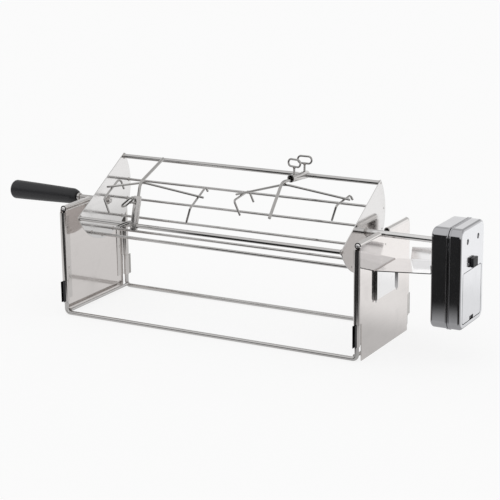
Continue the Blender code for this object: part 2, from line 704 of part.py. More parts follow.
def case_half(name, seam_x, wall_x):
    """Box with rounded corners, closed at wall_x and open at seam_x."""
    bm = box_bmesh((seam_x, wall_x), (-CASE_HALF_W, CASE_HALF_W), (CASE_Z0, CASE_Z1))
    along = [e for e in bm.edges if abs((e.verts[0].co - e.verts[1].co).x) > 1e-4]
    bmesh.ops.bevel(bm, geom=along, offset=CASE_CORNER * MM, segments=5, affect='EDGES',
                    profile=0.5)
    seam = [f for f in bm.faces if all(abs(v.co.x - seam_x * MM) < 1e-6 for v in f.verts)]
    bmesh.ops.delete(bm, geom=seam, context='FACES_ONLY')
    rim = [e for e in bm.edges if len(e.link_faces) == 2
           and all(abs(v.co.x - wall_x * MM) < 1e-6 for v in e.verts)]
    bmesh.ops.bevel(bm, geom=rim, offset=CASE_EDGE * MM, segments=3, affect='EDGES',
                    profile=0.5)
    bmesh.ops.recalc_face_normals(bm, faces=bm.faces)
    # the closed wall has to face away from the seam
    wall = max((f for f in bm.faces if abs(f.normal.x) > 0.9), key=lambda f: f.calc_area())
    if wall.normal.x * (wall_x - seam_x) < 0:
        bmesh.ops.reverse_faces(bm, faces=bm.faces)
    shell = from_bmesh(name, bm)
    solidify = shell.modifiers.new("wall", 'SOLIDIFY')
    solidify.thickness = CASE_WALL * MM
    solidify.offset = -1.0
    solidify.use_even_offset = True
    return to_mesh(shell)


def motor_rear_shell():
    """Case half towards the basket, with a cross rib and the bush hole."""
    shell = case_half("motor_rear_shell", CASE_SEAM - GAP, CASE_X0)
    rib = box("rib", (CASE_X0 + 1.0, CASE_SEAM - 1.0), (-CASE_HALF_W + 1.0, CASE_HALF_W - 1.0),
              RIB_Z)
    hole = x_cylinder("bush_hole", BUSH_HOLE_R, (CASE_X0 - 3, CASE_X0 + 4), SPIT, 24)
    finish(cut(fuse(shell, rib), hole), REAR_SHELL_METAL, sharp=30)


def motor_front_shell():
    """Outer case half with screw bosses, door opening and switch slot."""
    shell = case_half("motor_front_shell", CASE_SEAM + GAP, CASE_X1)
    centres = [(side * CASE_SCREW_Y, CASE_SCREW_Z) for side in (-1, 1)]
    for centre in centres:
        shell = fuse(shell, x_cylinder("boss", BOSS_R, (320.0, CASE_X1 - 1.2), centre, 16))
    for centre in centres:
        shell = cut(shell, x_cylinder("head", 3.4, (332.2, CASE_X1 + 2), centre, 16),
                    x_cylinder("shank", 1.8, (318.0, 334.0), centre, 12))
    opening = sheet("opening", round_rect(DOOR_HALF_W, DOOR_Z0, DOOR_Z1, DOOR_CORNER, 4),
                    CASE_X1 - 3, 6.0)
    slot = box("slot", (CASE_X1 - 4, CASE_X1 + 3), (-7.5, 7.5),
               (SWITCH_Z - 3.2, SWITCH_Z + 3.2))
    finish(cut(shell, opening, slot), FRONT_SHELL_METAL, sharp=30)


def battery_door():
    """Flat door with a notch in the middle of its lower edge."""
    outline = round_rect(DOOR_HALF_W - GAP, DOOR_Z0 + GAP, DOOR_Z1 - GAP, DOOR_CORNER - GAP, 4)
    door = sheet("battery_door", outline, CASE_X1 - CASE_WALL, CASE_WALL)
    notch = box("notch", (CASE_X1 - 5, CASE_X1 + 2), (-6.2, 6.2), (DOOR_Z0 - 2, DOOR_Z0 + 5.0))
    finish(cut(door, notch), DOOR_METAL, (CASE_X1, 0, DOOR_Z1))


def switch_knob():
    knob = box("switch_knob", (CASE_X1 + GAP, CASE_X1 + 4.4), (-KNOB_HALF_W, KNOB_HALF_W),
               (SWITCH_Z - 5.2, SWITCH_Z + 6.6), bevel=0.7)
    for k in range(-2, 3):
        y = k * GROOVE_PITCH
        knob = cut(knob, box("groove", (CASE_X1 + 3.5, CASE_X1 + 6),
                             (y - GROOVE_HALF_W, y + GROOVE_HALF_W),
                             (SWITCH_Z - 7, SWITCH_Z + 8)))
    stem = box("stem", (CASE_X1 - 2.6, CASE_X1 + 1.5), (-4.6, 4.6),
               (SWITCH_Z - 2.6, SWITCH_Z + 2.6))
    finish(fuse(knob, stem), KNOB_PLASTIC, (CASE_X1, 0, SWITCH_Z))


def switch_body():
    body = box("switch_body", (CASE_X1 - 9.5, CASE_X1 - 2.9), (-11, 11),
               (SWITCH_Z - 5.0, SWITCH_Z + 5.0))
    finish(body, SWITCH_PLASTIC, sharp=None)


def case_screw(name, y):
    """Flat round head with a cross slot."""
    z = CASE_SCREW_Z
    screw = fuse(x_cylinder(name, 3.0, (332.5, 334.4), (y, z), 16),
                 x_cylinder("shank", 1.5, (315.2, 333.0), (y, z), 12))
    for half_y, half_z in ((SLOT_HALF_L, SLOT_HALF_W), (SLOT_HALF_W, SLOT_HALF_L)):
        screw = cut(screw, box("slot", (333.5, 336), (y - half_y, y + half_y),
                               (z - half_z, z + half_z)))
    finish(screw, SCREW_METAL)


motor_rear_shell()
motor_front_shell()
battery_door()
switch_knob()
switch_body()
case_screw("case_screw_left", -CASE_SCREW_Y)
case_screw("case_screw_right", CASE_SCREW_Y)

# ================================================================ drive socket and gears
SOCKET_NECK_R = 7.3             # bore of the bush and of the output gear
OUT_TEETH, OUT_PINION, OUT_MODULE = 40, 10, 0.8
WHEEL_TEETH, WHEEL_PINION, WHEEL_MODULE = 30, 8, 0.6
TOOTH_TIP = 0.47 * 0.52         # tooth width at tip and root as a share of the pitch
TOOTH_ROOT = 0.47 * 1.36
ADDENDUM, DEDENDUM = 0.85, 1.2  # in modules
AXLE_R = 0.8
AXLE_X = (298.4, 313.6)
MOTOR_ANGLE = 190.0             # from reduction gear 1 to the motor pinion

# name, angle in degrees from the previous gear, pinion teeth, pinion module,
# pinion start x, wheel start x, wheel end x
REDUCTION_GEARS = (
    ("reduction_gear_3", -13.0, OUT_PINION, OUT_MODULE, 299.8, 304.8, 306.6),
    ("reduction_gear_2", 75.0, WHEEL_PINION, WHEEL_MODULE, 304.6, 307.8, 309.4),
    ("reduction_gear_1", 145.0, WHEEL_PINION, WHEEL_MODULE, 307.6, 310.6, 312.2),
)


def socket_bush():
    bush = sheet("socket_bush", circle(*SPIT, 9.5, 24), CASE_X0 - 0.6, 3.4,
                 [circle(*SPIT, SOCKET_NECK_R, 24)])
    finish(bush, BUSH_BRONZE)


def drive_socket():
    """Stepped round socket with a square hole for the drive shaft."""
    half = SHAFT_SQUARE + GAP
    socket = fuse(x_cylinder("drive_socket", 7.0, (CASE_X0 - 1.0, 305.0), SPIT, 24),
                  x_cylinder("tail", 5.4, (304.5, 310.6), SPIT, 20))
    hole = box("hole", (CASE_X0 - 4, 309.0), (-half, half), (SPIT_Z - half, SPIT_Z + half))
    finish(cut(socket, hole), SOCKET_METAL, SPIT_ORIGIN)


def gear_outline(teeth, module, centre, phase):
    """Straight-flanked teeth; phase is the angle of the first tooth."""
    tip_r, root_r = module * (teeth / 2 + ADDENDUM), module * (teeth / 2 - DEDENDUM)
    pitch = 2 * pi / teeth
    out = []
    for i in range(teeth):
        middle = phase + i * pitch
        for radius, offset in ((root_r, -TOOTH_ROOT / 2), (tip_r, -TOOTH_TIP / 2),
                               (tip_r, TOOTH_TIP / 2), (root_r, TOOTH_ROOT / 2)):
            angle = middle + offset * pitch
            out.append((centre[0] + radius * cos(angle), centre[1] + radius * sin(angle)))
    return out


def meshing_pinion(wheel_centre, wheel_teeth, pinion_teeth, module, angle):
    """Centre and phase of a pinion whose gap faces a tooth of a wheel at phase 0."""
    distance = module * (wheel_teeth + pinion_teeth) / 2
    centre = (wheel_centre[0] + distance * cos(radians(angle)),
              wheel_centre[1] + distance * sin(radians(angle)))
    toward = atan2(centre[1] - wheel_centre[1], centre[0] - wheel_centre[0])
    wheel_share = (toward / (2 * pi / wheel_teeth)) % 1.0
    pinion_share = (0.5 - wheel_share) % 1.0
    return centre, (toward + pi) - pinion_share * (2 * pi / pinion_teeth)


def output_gear():
    gear = sheet("output_gear", gear_outline(OUT_TEETH, OUT_MODULE, SPIT, 0.0), 300.0, 3.6,
                 [circle(*SPIT, SOCKET_NECK_R, 20)])
    finish(gear, GEAR_PLASTIC, SPIT_ORIGIN, sharp=None)


def reduction_gear(name, centre, pinion, pinion_x, wheel_x0, wheel_x1):
    """Wheel and pinion in one piece on a bored centre."""
    wheel = sheet(name, gear_outline(WHEEL_TEETH, WHEEL_MODULE, centre, 0.0), wheel_x0,
                  wheel_x1 - wheel_x0)
    gear = fuse(wheel, sheet("pinion", pinion, pinion_x, wheel_x0 + 0.8 - pinion_x))
    bore = x_cylinder("bore", AXLE_R + GAP, (pinion_x - 2, wheel_x1 + 2), centre, 12)
    finish(cut(gear, bore), GEAR_PLASTIC, (0, *centre), sharp=None)


def gear_train():
    """Build the gears from the output inwards; return axle centres and motor centre."""
    output_gear()
    axles = []
    centre, teeth = SPIT, OUT_TEETH
    for name, angle, pinion_teeth, module, *x_stations in REDUCTION_GEARS:
        centre, phase = meshing_pinion(centre, teeth, pinion_teeth, module, angle)
        pinion = gear_outline(pinion_teeth, module, centre, phase)
        reduction_gear(name, centre, pinion, *x_stations)
        axles.append(centre)
        teeth = WHEEL_TEETH
    motor, phase = meshing_pinion(centre, teeth, WHEEL_PINION, WHEEL_MODULE, MOTOR_ANGLE)
    outline = gear_outline(WHEEL_PINION, WHEEL_MODULE, motor, phase)
    pinion = fuse(sheet("motor_pinion", outline, 310.3, 2.2),
                  x_cylinder("shaft", 0.75, (309.8, 316.0), motor, 10))
    finish(pinion, PINION_BRASS, (0, *motor), sharp=None)
    return axles, motor


def gearbox_plate(axles, motor):
    holes = [circle(*motor, 2.6, 12), circle(-CASE_SCREW_Y, CASE_SCREW_Z, 1.2, 8)]
    plate = sheet("gearbox_plate", round_rect(33.0, 117.0, 166.0, 3.0, 3), 313.2, 1.0, holes)
    for centre in axles:
        plate = fuse(plate, x_cylinder("axle", AXLE_R, AXLE_X, centre, 12))
    finish(plate, GEARBOX_METAL)


def motor_can(motor):
    can = fuse(x_cylinder("motor_can", 9.3, (317.0, 332.6), motor, 24),
               x_cylinder("nose", 3.2, (314.6, 317.4), motor, 16))
    finish(cut(can, x_cylinder("bore", 1.05, (312, 316.4), motor, 10)), CAN_METAL)


socket_bush()
drive_socket()
axle_centres, motor_centre = gear_train()
gearbox_plate(axle_centres, motor_centre)
motor_can(motor_centre)

# ================================================================ cells and contacts
CELL_R = 16.8
CELL_X, CELL_Y = 315.4, 17.3
CELL_Z0, CELL_Z1 = 51.8, 110.6
NUB_R, NUB_H = 3.6, 1.2
CONTACT_T = 0.4
CONTACT_Z = 112.9
BRIDGE_Z = 46.6
BRIDGE_HALF_L = 27.5
# one hump of the bridge: (y from the cell's centre line, z)
BRIDGE_HUMP = ((-9, BRIDGE_Z), (-5, 49.2), (-1.5, 51.1), (1.5, 51.1), (5, 49.2), (9, BRIDGE_Z))


def battery_cell(name, y, nub):
    """Upright cell, with a nub on top if asked for."""
    cell = cylinder(name, CELL_R, (CELL_X, y, CELL_Z0), (CELL_X, y, CELL_Z1), 28)
    if nub:
        cell = fuse(cell, cylinder("nub", NUB_R, (CELL_X, y, CELL_Z1 - 0.5),
                                   (CELL_X, y, CELL_Z1 + NUB_H), 14))
    finish(cell, CELL_WRAP)


def bent_strip(name, path, x0, x1):
    """Open profile in (y, z) swept along X and thickened."""
    bm = bmesh.new()
    near, far = ([bm.verts.new((x * MM, y * MM, z * MM)) for y, z in path] for x in (x0, x1))
    for i in range(len(path) - 1):
        bm.faces.new((near[i], far[i], far[i + 1], near[i + 1]))
    strip = from_bmesh(name, bm)
    solidify = strip.modifiers.new("sheet", 'SOLIDIFY')
    solidify.thickness = CONTACT_T * MM
    solidify.offset = 0.0
    solidify.use_even_offset = True
    strip = to_mesh(strip)
    bm = bmesh.new()
    bm.from_mesh(strip.data)
    bmesh.ops.recalc_face_normals(bm, faces=bm.faces)
    bm.to_mesh(strip.data)
    bm.free()
    finish(strip, CONTACT_METAL, sharp=None)


def contact_bridge():
    """Strip under both cells with a hump below each."""
    humps = [(side * CELL_Y + y, z) for side in (-1, 1) for y, z in BRIDGE_HUMP]
    path = [(-BRIDGE_HALF_L, BRIDGE_Z), *humps, (BRIDGE_HALF_L, BRIDGE_Z)]
    bent_strip("contact_bridge", path, 310.4, 320.4)


def contact(name, y, dip_z):
    """Strip over a cell, dipping to dip_z in the middle."""
    path = [(y - 7, CONTACT_Z), (y - 4, CONTACT_Z), (y - 2.4, dip_z),
            (y + 2.4, dip_z), (y + 4, CONTACT_Z), (y + 7, CONTACT_Z)]
    bent_strip(name, path, 309.0, 317.4)


battery_cell("battery_cell_left", -CELL_Y, nub=False)
battery_cell("battery_cell_right", CELL_Y, nub=True)
contact_bridge()
contact("contact_left", -CELL_Y, dip_z=111.2)
contact("contact_right", CELL_Y, dip_z=112.5)

# ================================================================ origin
# from the layout's centre to the middle of the motor-side plate's lower edge
for ob in parts.objects:
    ob.location.x -= (PLATE_X - PLATE_T / 2) * MM
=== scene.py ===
"""Rotisserie spit roaster: two side plates on a wire base, a wire basket with two hold-down
forks, a hand grip at the left end and a battery motor case at the right end.

The layout is in mm and centred between the side plates: +X to the right, towards the motor,
+Y to the rear, +Z up, feet at z = 0. place() moves each piece to the frame's origin, which
lies at mid thickness of the right plate. Meshes are in metres.
"""
import json
import bpy
import bmesh
from math import sin, cos, pi, radians, atan2, sqrt
from mathutils import Vector, Matrix

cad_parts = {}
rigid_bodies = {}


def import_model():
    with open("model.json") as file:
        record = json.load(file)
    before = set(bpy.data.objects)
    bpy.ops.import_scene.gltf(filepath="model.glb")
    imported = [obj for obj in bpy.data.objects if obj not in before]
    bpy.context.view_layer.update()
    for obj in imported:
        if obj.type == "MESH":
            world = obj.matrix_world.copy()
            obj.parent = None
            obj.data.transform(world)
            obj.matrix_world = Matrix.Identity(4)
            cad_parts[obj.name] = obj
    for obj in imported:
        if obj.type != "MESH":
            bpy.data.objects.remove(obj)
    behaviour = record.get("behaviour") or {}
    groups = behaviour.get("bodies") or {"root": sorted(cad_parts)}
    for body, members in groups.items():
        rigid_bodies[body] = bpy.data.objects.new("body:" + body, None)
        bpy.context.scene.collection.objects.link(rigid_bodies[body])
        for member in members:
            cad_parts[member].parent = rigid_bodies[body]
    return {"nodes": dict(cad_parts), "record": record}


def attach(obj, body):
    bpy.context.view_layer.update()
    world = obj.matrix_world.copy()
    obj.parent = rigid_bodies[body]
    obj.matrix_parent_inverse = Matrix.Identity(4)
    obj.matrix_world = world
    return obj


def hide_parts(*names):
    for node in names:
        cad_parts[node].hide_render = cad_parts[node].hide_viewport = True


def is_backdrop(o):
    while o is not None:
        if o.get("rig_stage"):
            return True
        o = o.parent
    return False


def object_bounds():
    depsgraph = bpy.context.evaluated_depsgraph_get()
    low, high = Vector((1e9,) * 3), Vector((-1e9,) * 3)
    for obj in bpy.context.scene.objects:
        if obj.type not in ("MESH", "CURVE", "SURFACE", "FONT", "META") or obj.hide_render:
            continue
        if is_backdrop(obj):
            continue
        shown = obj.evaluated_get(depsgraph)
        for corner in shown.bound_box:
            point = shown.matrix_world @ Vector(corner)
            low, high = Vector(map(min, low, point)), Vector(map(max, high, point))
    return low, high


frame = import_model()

CAD_BOX = [list(v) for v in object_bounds()]
RECORD = frame["record"]
BODY = {node: body for body, nodes in RECORD["behaviour"]["bodies"].items() for node in nodes}

# ================================================================== dimensions (mm)
MM = 0.001
GAP = 0.3                                        # clearance between neighbouring pieces
AXIS_Z = 144.75                                  # height of the spit

# side plates: PLATE_X is the outer face; posts and top hem are rolled sheet
PLATE_X, PLATE_THICK, PLATE_HALF_W, PLATE_H = 220.0, 1.0, 77.7, 150.0
TUBE_OD = 8.4
POST_BOTTOM, POST_TOP = 48.0, 141.3
POST_X, POST_Y = PLATE_X - TUBE_OD / 2, PLATE_HALF_W - TUBE_OD / 2
HEM_GAP = 12.5                                   # half width of the notch for the spit
HEM_Z = PLATE_H - TUBE_OD / 2
ROLL_R = TUBE_OD / 2 - PLATE_THICK / 2           # mid line of the rolled sheet
ORIGIN_X = PLATE_X - PLATE_THICK / 2

# base wires and corner clips
BASE_WIRE_R, BASE_WIRE_TOP, BASE_WIRE_BEND = 2.8, 92, 5.6
CROSS_WIRE_R, CROSS_X, CROSS_Z = 2.2, 212.6, 5.3
CLIP_THICK, CLIP_Z0, CLIP_Z1 = 0.7, 19.0, 47.4

# basket, in its own tilted section: "across" and "rise" are measured from the spit axis
CAGE_TILT = radians(30.14)
CAGE_END_X, CAGE_END_THICK = 192.35, 1.2
CAGE_CENTRE, CAGE_R, CAGE_CHORD = 19.8, 66.5, 28.3
CAGE_WIRE_RING, CAGE_WIRE_R = 61.5, 1.75
CAGE_WIRE_STEP, CAGE_WIRE_START = 24.6, 3.9      # degrees round the ring
ROD_R, ROD_ACROSS, ROD_RISE = 3.0, 63.6, 24.8

# spit ends and hand grip
SHAFT_R, SHAFT_SQUARE, SHAFT_X0 = 3.9, 3.0, 188.4
GRIP_X0, GRIP_X1, GRIP_R0, GRIP_R1 = -242.5, -350.0, 10.2, 13.0

# hold-down forks
SLEEVE_R, SLEEVE_BORE, SLEEVE_BACK, SLEEVE_FRONT = 5.0, 3.7, -7.0, 38.5
BAR_R, BAR_DROP, BAR_BEND, BAR_BEND_R, BAR_LEG = 2.0, 1.4, radians(48.0), 16.0, 48.0
SPREAD_R, SPREAD_HALF, SPREAD_DROP = 1.45, 82.0, 27.0
CLAW_R, CLAW_AT, CLAW_HALF = 1.4, 74.0, 20.5
CLAW_PRONG, CLAW_PRONG_REAR, CLAW_STUB = 21.0, 16.5, 7.0
SCREW_R = 1.5
RING_HALF_W, RING_HALF_H, RING_WIRE = 10.0, 4.6, 1.3

# motor bracket: a leg on the right plate and a shelf that rises to the right
BRACKET_THICK, BRACKET_HALF, BRACKET_Z0, BRACKET_Z1 = 1.2, 32.0, 67.0, 106.0
SHELF_TILT, SHELF_L = radians(4.3), 74.9

# motor case
CASE_X0, CASE_SEAM, CASE_X1, CASE_HALF_W = 296.0, 318.5, 335.0, 38.0
CASE_Z0, CASE_Z1, CASE_WALL, CASE_CORNER, CASE_EDGE = 44.0, 170.0, 1.6, 11.0, 3.6
DOOR_HALF, DOOR_Z0, DOOR_Z1 = 30.0, 51.0, 115.0
SWITCH_Z, CASE_SCREW_Y, CASE_SCREW_Z = 123.0, 16.8, 152.0

X, Y, Z = Vector((1, 0, 0)), Vector((0, 1, 0)), Vector((0, 0, 1))
ON_AXIS = (0, 0, AXIS_Z)
LEFT_RIGHT = {-1: "left", 1: "right"}
FRONT_REAR = {-1: "front", 1: "rear"}

looks = bpy.data.collections.new("looks")
bpy.context.scene.collection.children.link(looks)


# ================================================================== shader nodes
class Nodes:
    """Short calls that add linked nodes to a shader tree."""

    def __init__(self, tree):
        self.tree = tree

    def node(self, kind, **settings):
        node = self.tree.nodes.new(kind)
        for key, value in settings.items():
            setattr(node, key, value)
        return node

    def feed(self, socket, value):
        """Link an output to a socket, or set it to a number or an RGB colour."""
        if isinstance(value, bpy.types.NodeSocket):
            self.tree.links.new(value, socket)
        else:
            socket.default_value = (*value, 1.0) if isinstance(value, tuple) else value

    def ramp(self, value, between, to=(0.0, 1.0)):
        """Smooth step from to[0] to to[1] as the value crosses the given range."""
        node = self.node("ShaderNodeMapRange", interpolation_type='SMOOTHSTEP')
        for key, number in zip(("From Min", "From Max", "To Min", "To Max"), (*between, *to)):
            node.inputs[key].default_value = number
        self.feed(node.inputs["Value"], value)
        return node.outputs["Result"]

    def math(self, operation, first, *others):
        for other in others:
            node = self.node("ShaderNodeMath", operation=operation)
            self.feed(node.inputs[0], first)
            self.feed(node.inputs[1], other)
            first = node.outputs[0]
        return first

    def total(self, *values):
        return self.math('ADD', *values)

    def product(self, *values):
        return self.math('MULTIPLY', *values)

    def swing(self, noise, amount):
        """Noise centred on zero."""
        return self.product(self.math('SUBTRACT', noise, 0.5), amount)

    def blend(self, mask, inside, outside):
        return self.total(self.product(inside, mask),
                          self.product(outside, self.math('SUBTRACT', 1.0, mask)))

    def mix(self, factor, first, second, data_type='RGBA'):
        first_input, output = {'RGBA': (6, 2), 'FLOAT': (2, 0)}[data_type]
        node = self.node("ShaderNodeMix", data_type=data_type)
        self.feed(node.inputs[0], factor)
        self.feed(node.inputs[first_input], first)
        self.feed(node.inputs[first_input + 1], second)
        return node.outputs[output]

    def emission(self, strength):
        node = self.node("ShaderNodeEmission")
        self.feed(node.inputs["Strength"], strength)
        return node.outputs[0]

    def mix_shader(self, factor, first, second):
        node = self.node("ShaderNodeMixShader")
        for socket, value in zip(node.inputs, (factor, first, second)):
            self.feed(socket, value)
        return node.outputs[0]


class Finish(Nodes):
    """A Principled material with procedural textures in object space."""

    def __init__(self, name):
        self.material = bpy.data.materials.new(name)
        self.material.use_nodes = True
        super().__init__(self.material.node_tree)
        self.object_coords = self.node("ShaderNodeTexCoord").outputs["Object"]

    def noise(self, scale, detail=2.0, rough=0.5, stretch=(1, 1, 1), turn=(0, 0, 0), distort=0.0):
        mapping = self.node("ShaderNodeMapping")
        mapping.inputs["Scale"].default_value = stretch
        mapping.inputs["Rotation"].default_value = turn
        self.feed(mapping.inputs["Vector"], self.object_coords)
        node = self.node("ShaderNodeTexNoise")
        node.inputs["Scale"].default_value = scale
        node.inputs["Detail"].default_value = detail
        node.inputs["Roughness"].default_value = rough
        node.inputs["Distortion"].default_value = distort
        self.feed(node.inputs["Vector"], mapping.outputs["Vector"])
        return node.outputs["Fac"]

    def bump(self, height, distance, under=None):
        """Relief of the given depth in metres, on top of another relief."""
        node = self.node("ShaderNodeBump")
        node.inputs["Distance"].default_value = distance
        node.inputs["Strength"].default_value = 1.0
        self.feed(node.inputs["Height"], height)
        if under is not None:
            self.feed(node.inputs["Normal"], under)
        return node.outputs["Normal"]

    def done(self, **inputs):
        shader = self.tree.nodes["Principled BSDF"]
        for key, value in inputs.items():
            self.feed(shader.inputs[key.replace("_", " ")], value)
        return self.material


# ================================================================== finishes
GRAIN_ALONG, GRAIN_ACROSS, GRAIN_EVEN = 9.0, 900.0, 260.0    # noise scales per metre


def steel(name, base, rough, along, grain, wave):
    """Stainless: grain lines along one axis (None: even grain), smears, scratches, wavy sheet."""
    m = Finish(name)
    if along:
        stretch = tuple(GRAIN_ALONG if axis == along else GRAIN_ACROSS for axis in 'XYZ')
    else:
        stretch = (GRAIN_EVEN,) * 3

    def rescaled(fine, coarse):
        return tuple(s * (coarse if s == GRAIN_ALONG else fine) for s in stretch)

    lines = m.noise(scale=1.0, detail=3.0, rough=0.62, stretch=stretch)
    bands = m.noise(scale=1.0, detail=1.0, stretch=rescaled(fine=0.33, coarse=0.5))
    scratches = m.ramp(m.noise(scale=1.0, detail=0.0, stretch=rescaled(fine=1.7, coarse=0.8),
                               turn=(0.05, 0.08, 0.04)), between=(0.70, 0.76))
    smears = m.ramp(m.noise(scale=22.0, detail=4.0, rough=0.55, distort=0.6), between=(0.44, 0.72))
    blots = m.noise(scale=70.0, detail=3.0, rough=0.6)
    sheet_waves = m.noise(scale=9.0, detail=1.0, rough=0.4, distort=0.3)

    normal = m.bump(sheet_waves, distance=0.00005 * wave)
    normal = m.bump(lines, distance=0.0000012 * grain, under=normal)
    normal = m.bump(scratches, distance=0.0000015, under=normal)
    tone = m.total(m.swing(bands, amount=0.55 * grain), m.product(smears, 0.35))
    return m.done(
        Base_Color=m.mix(tone, base, tuple(c * 0.86 for c in base)),
        Metallic=1.0,
        Roughness=m.total(rough, m.swing(lines, amount=0.10 * grain), m.product(smears, 0.07),
                          m.product(scratches, 0.10), m.swing(blots, amount=0.035)),
        Normal=normal)


def chrome(name, base, rough, peel, smudge):
    """Plated moulding: mirror finish with a trace of orange peel, smears and fine scuffs."""
    m = Finish(name)
    smears = m.ramp(m.noise(scale=30.0, detail=4.0, rough=0.6, distort=0.8), between=(0.46, 0.75))
    scuffs = m.ramp(m.noise(scale=1.0, detail=1.0, stretch=(240, 60, 700), turn=(0.3, 0.2, 0.5)),
                    between=(0.66, 0.74))
    normal = m.bump(m.noise(scale=420.0), distance=0.0000035 * peel)
    normal = m.bump(m.noise(scale=26.0, detail=1.0), distance=0.00006 * peel, under=normal)
    return m.done(
        Base_Color=m.mix(m.product(smears, 0.5), base, tuple(c * 0.93 for c in base)),
        Metallic=1.0,
        Roughness=m.total(rough, m.product(smears, 0.05 * smudge), m.product(scuffs, 0.06)),
        Normal=normal)


def plastic(name, base, rough, grain, scale, specular):
    """Moulded plastic: spark-eroded grain, slight sheen changes and a few pale rubs."""
    m = Finish(name)
    fine = m.noise(scale=scale, rough=0.55)
    sheen = m.noise(scale=38.0, detail=3.0, rough=0.55, distort=0.4)
    rubs = m.ramp(m.noise(scale=1.0, rough=0.6, stretch=(60, 420, 420), turn=(0.1, 0.3, 0.2)),
                  between=(0.68, 0.80))
    pale = tuple(min(1.0, c * 1.9 + 0.012) for c in base)
    return m.done(
        Base_Color=m.mix(m.total(m.product(rubs, 0.45), m.product(sheen, 0.25)), base, pale),
        Roughness=m.total(rough, m.swing(sheen, amount=0.16), m.swing(fine, amount=0.10 * grain)),
        Specular_IOR_Level=specular,
        Normal=m.bump(fine, distance=0.000045 * grain))


def brass():
    m = Finish("brass")
    return m.done(
        Base_Color=m.mix(m.noise(scale=160.0, detail=3.0), (0.70, 0.52, 0.24), (0.55, 0.40, 0.18)),
        Metallic=1.0,
        Roughness=m.ramp(m.noise(scale=320.0), between=(0.3, 0.7), to=(0.2, 0.38)),
        Normal=m.bump(m.noise(scale=900.0), distance=0.00002))


# name, base colour, roughness, grain axis, grain strength, sheet waviness
STEELS = [
    ("sheet_plate", (0.77, 0.735, 0.718), 0.075, 'Y', 0.8, 0.10),
    ("sheet_post", (0.66, 0.635, 0.62), 0.10, 'Z', 1.1, 0.03),
    ("sheet_hem", (0.72, 0.70, 0.685), 0.085, 'Y', 0.9, 0.03),
    ("sheet_end", (0.70, 0.69, 0.685), 0.085, 'Y', 0.7, 0.12),
    # the flange row is a lighter copy of the bracket steel below it: painted light
    ("sheet_flange", (0.96, 0.955, 0.96), 0.14, 'X', 0.6, 0.0),
    ("sheet_bracket", (0.85, 0.845, 0.85), 0.06, 'X', 0.6, 0.06),
    ("wire_x", (0.56, 0.548, 0.54), 0.04, 'X', 1.2, 0.0),
    ("wire_y", (0.54, 0.528, 0.52), 0.04, 'Y', 1.2, 0.0),
    ("wire_o", (0.42, 0.41, 0.40), 0.05, None, 0.9, 0.0),
    ("shaft", (0.74, 0.73, 0.725), 0.08, 'Y', 0.7, 0.0),
    ("sleeve", (0.52, 0.505, 0.495), 0.16, 'X', 1.1, 0.0),
    ("weld", (0.42, 0.40, 0.385), 0.32, None, 1.6, 0.0),
    # the two clip rows are one steel in two tones: near black as painted shade on the front leaves,
    # mid grey on the rear leaves
    ("clip", (0.030, 0.030, 0.032), 0.30, 'Z', 1.0, 0.1),
    ("clip_inner", (0.42, 0.405, 0.39), 0.25, 'Z', 1.4, 0.2),
    # the plug row is a lighter, rougher copy of the sheet steel: painted highlight on the corner dome
    ("hem_plug", (0.86, 0.85, 0.845), 0.45, None, 0.6, 0.0),
    ("screw", (0.62, 0.62, 0.63), 0.2, None, 1.2, 0.0),
    ("plain", (0.56, 0.56, 0.57), 0.32, 'Y', 1.4, 0.5),
    ("contact", (0.70, 0.69, 0.66), 0.22, 'Y', 1.0, 0.2),
    ("rod_grey", (0.50, 0.485, 0.475), 0.16, 'X', 1.3, 0.0),
]
# name, base colour, roughness, orange peel, smudges
CHROMES = [
    ("case_chrome", (0.46, 0.46, 0.475), 0.055, 1.0, 1.0),
    ("case_face", (0.73, 0.735, 0.755), 0.16, 0.8, 0.8),
]
# name, base colour, roughness, grain strength, grain scale, specular level
PLASTICS = [
    ("grip", (0.0125, 0.0125, 0.0145), 0.40, 1.0, 1300.0, 0.42),
    ("switch", (0.010, 0.010, 0.012), 0.36, 0.7, 2600.0, 0.5),
    ("acetal", (0.72, 0.70, 0.63), 0.38, 0.4, 2200.0, 0.5),
    ("jacket", (0.035, 0.036, 0.040), 0.22, 0.3, 900.0, 0.5),
    # near black, painted shade: the hollows at the top hem's ends and the gap behind the battery door
    ("dark_hole", (0.004, 0.004, 0.004), 0.8, 0.3, 900.0, 0.1),
]
FINISHES = {row[0]: make(*row)
            for make, table in ((steel, STEELS), (chrome, CHROMES), (plastic, PLASTICS))
            for row in table}
FINISHES["brass"] = brass()


# ================================================================== mesh kit
def new_object(name, data):
    ob = bpy.data.objects.new(name, data)
    looks.objects.link(ob)
    return ob


def from_bm(name, bm):
    bmesh.ops.remove_doubles(bm, verts=bm.verts, dist=1e-7)
    bmesh.ops.recalc_face_normals(bm, faces=bm.faces)
    mesh = bpy.data.meshes.new(name)
    bm.normal_update()
    bm.to_mesh(mesh)
    bm.free()
    return new_object(name, mesh)


def axes(origin, ex, ey, ez):
    """Matrix of a local frame; the origin is in mm."""
    return Matrix([(ex[i], ey[i], ez[i], origin[i] * MM) for i in range(3)] + [(0, 0, 0, 1)])


def bake(ob):
    """Apply modifiers and the object's matrix: the mesh ends in world metres at the origin."""
    bpy.context.view_layer.update()
    graph = bpy.context.evaluated_depsgraph_get()
    mesh = bpy.data.meshes.new_from_object(ob.evaluated_get(graph))
    mesh.transform(ob.matrix_world.copy())
    name = ob.name
    bpy.data.objects.remove(ob, do_unlink=True)
    return new_object(name, mesh)


def shade(ob, angle):
    """Smooth shading, with edges sharper than the angle (degrees) kept hard."""
    ob.data.shade_smooth()
    ob.data.set_sharp_from_angle(angle=radians(angle))
    return ob


def bevelled(ob, width, seg=2, angle=30.0):
    bevel = ob.modifiers.new("edge", 'BEVEL')
    bevel.width = width * MM
    bevel.segments = seg
    bevel.limit_method = 'ANGLE'
    bevel.angle_limit = radians(angle)
    return shade(bake(ob), 24)


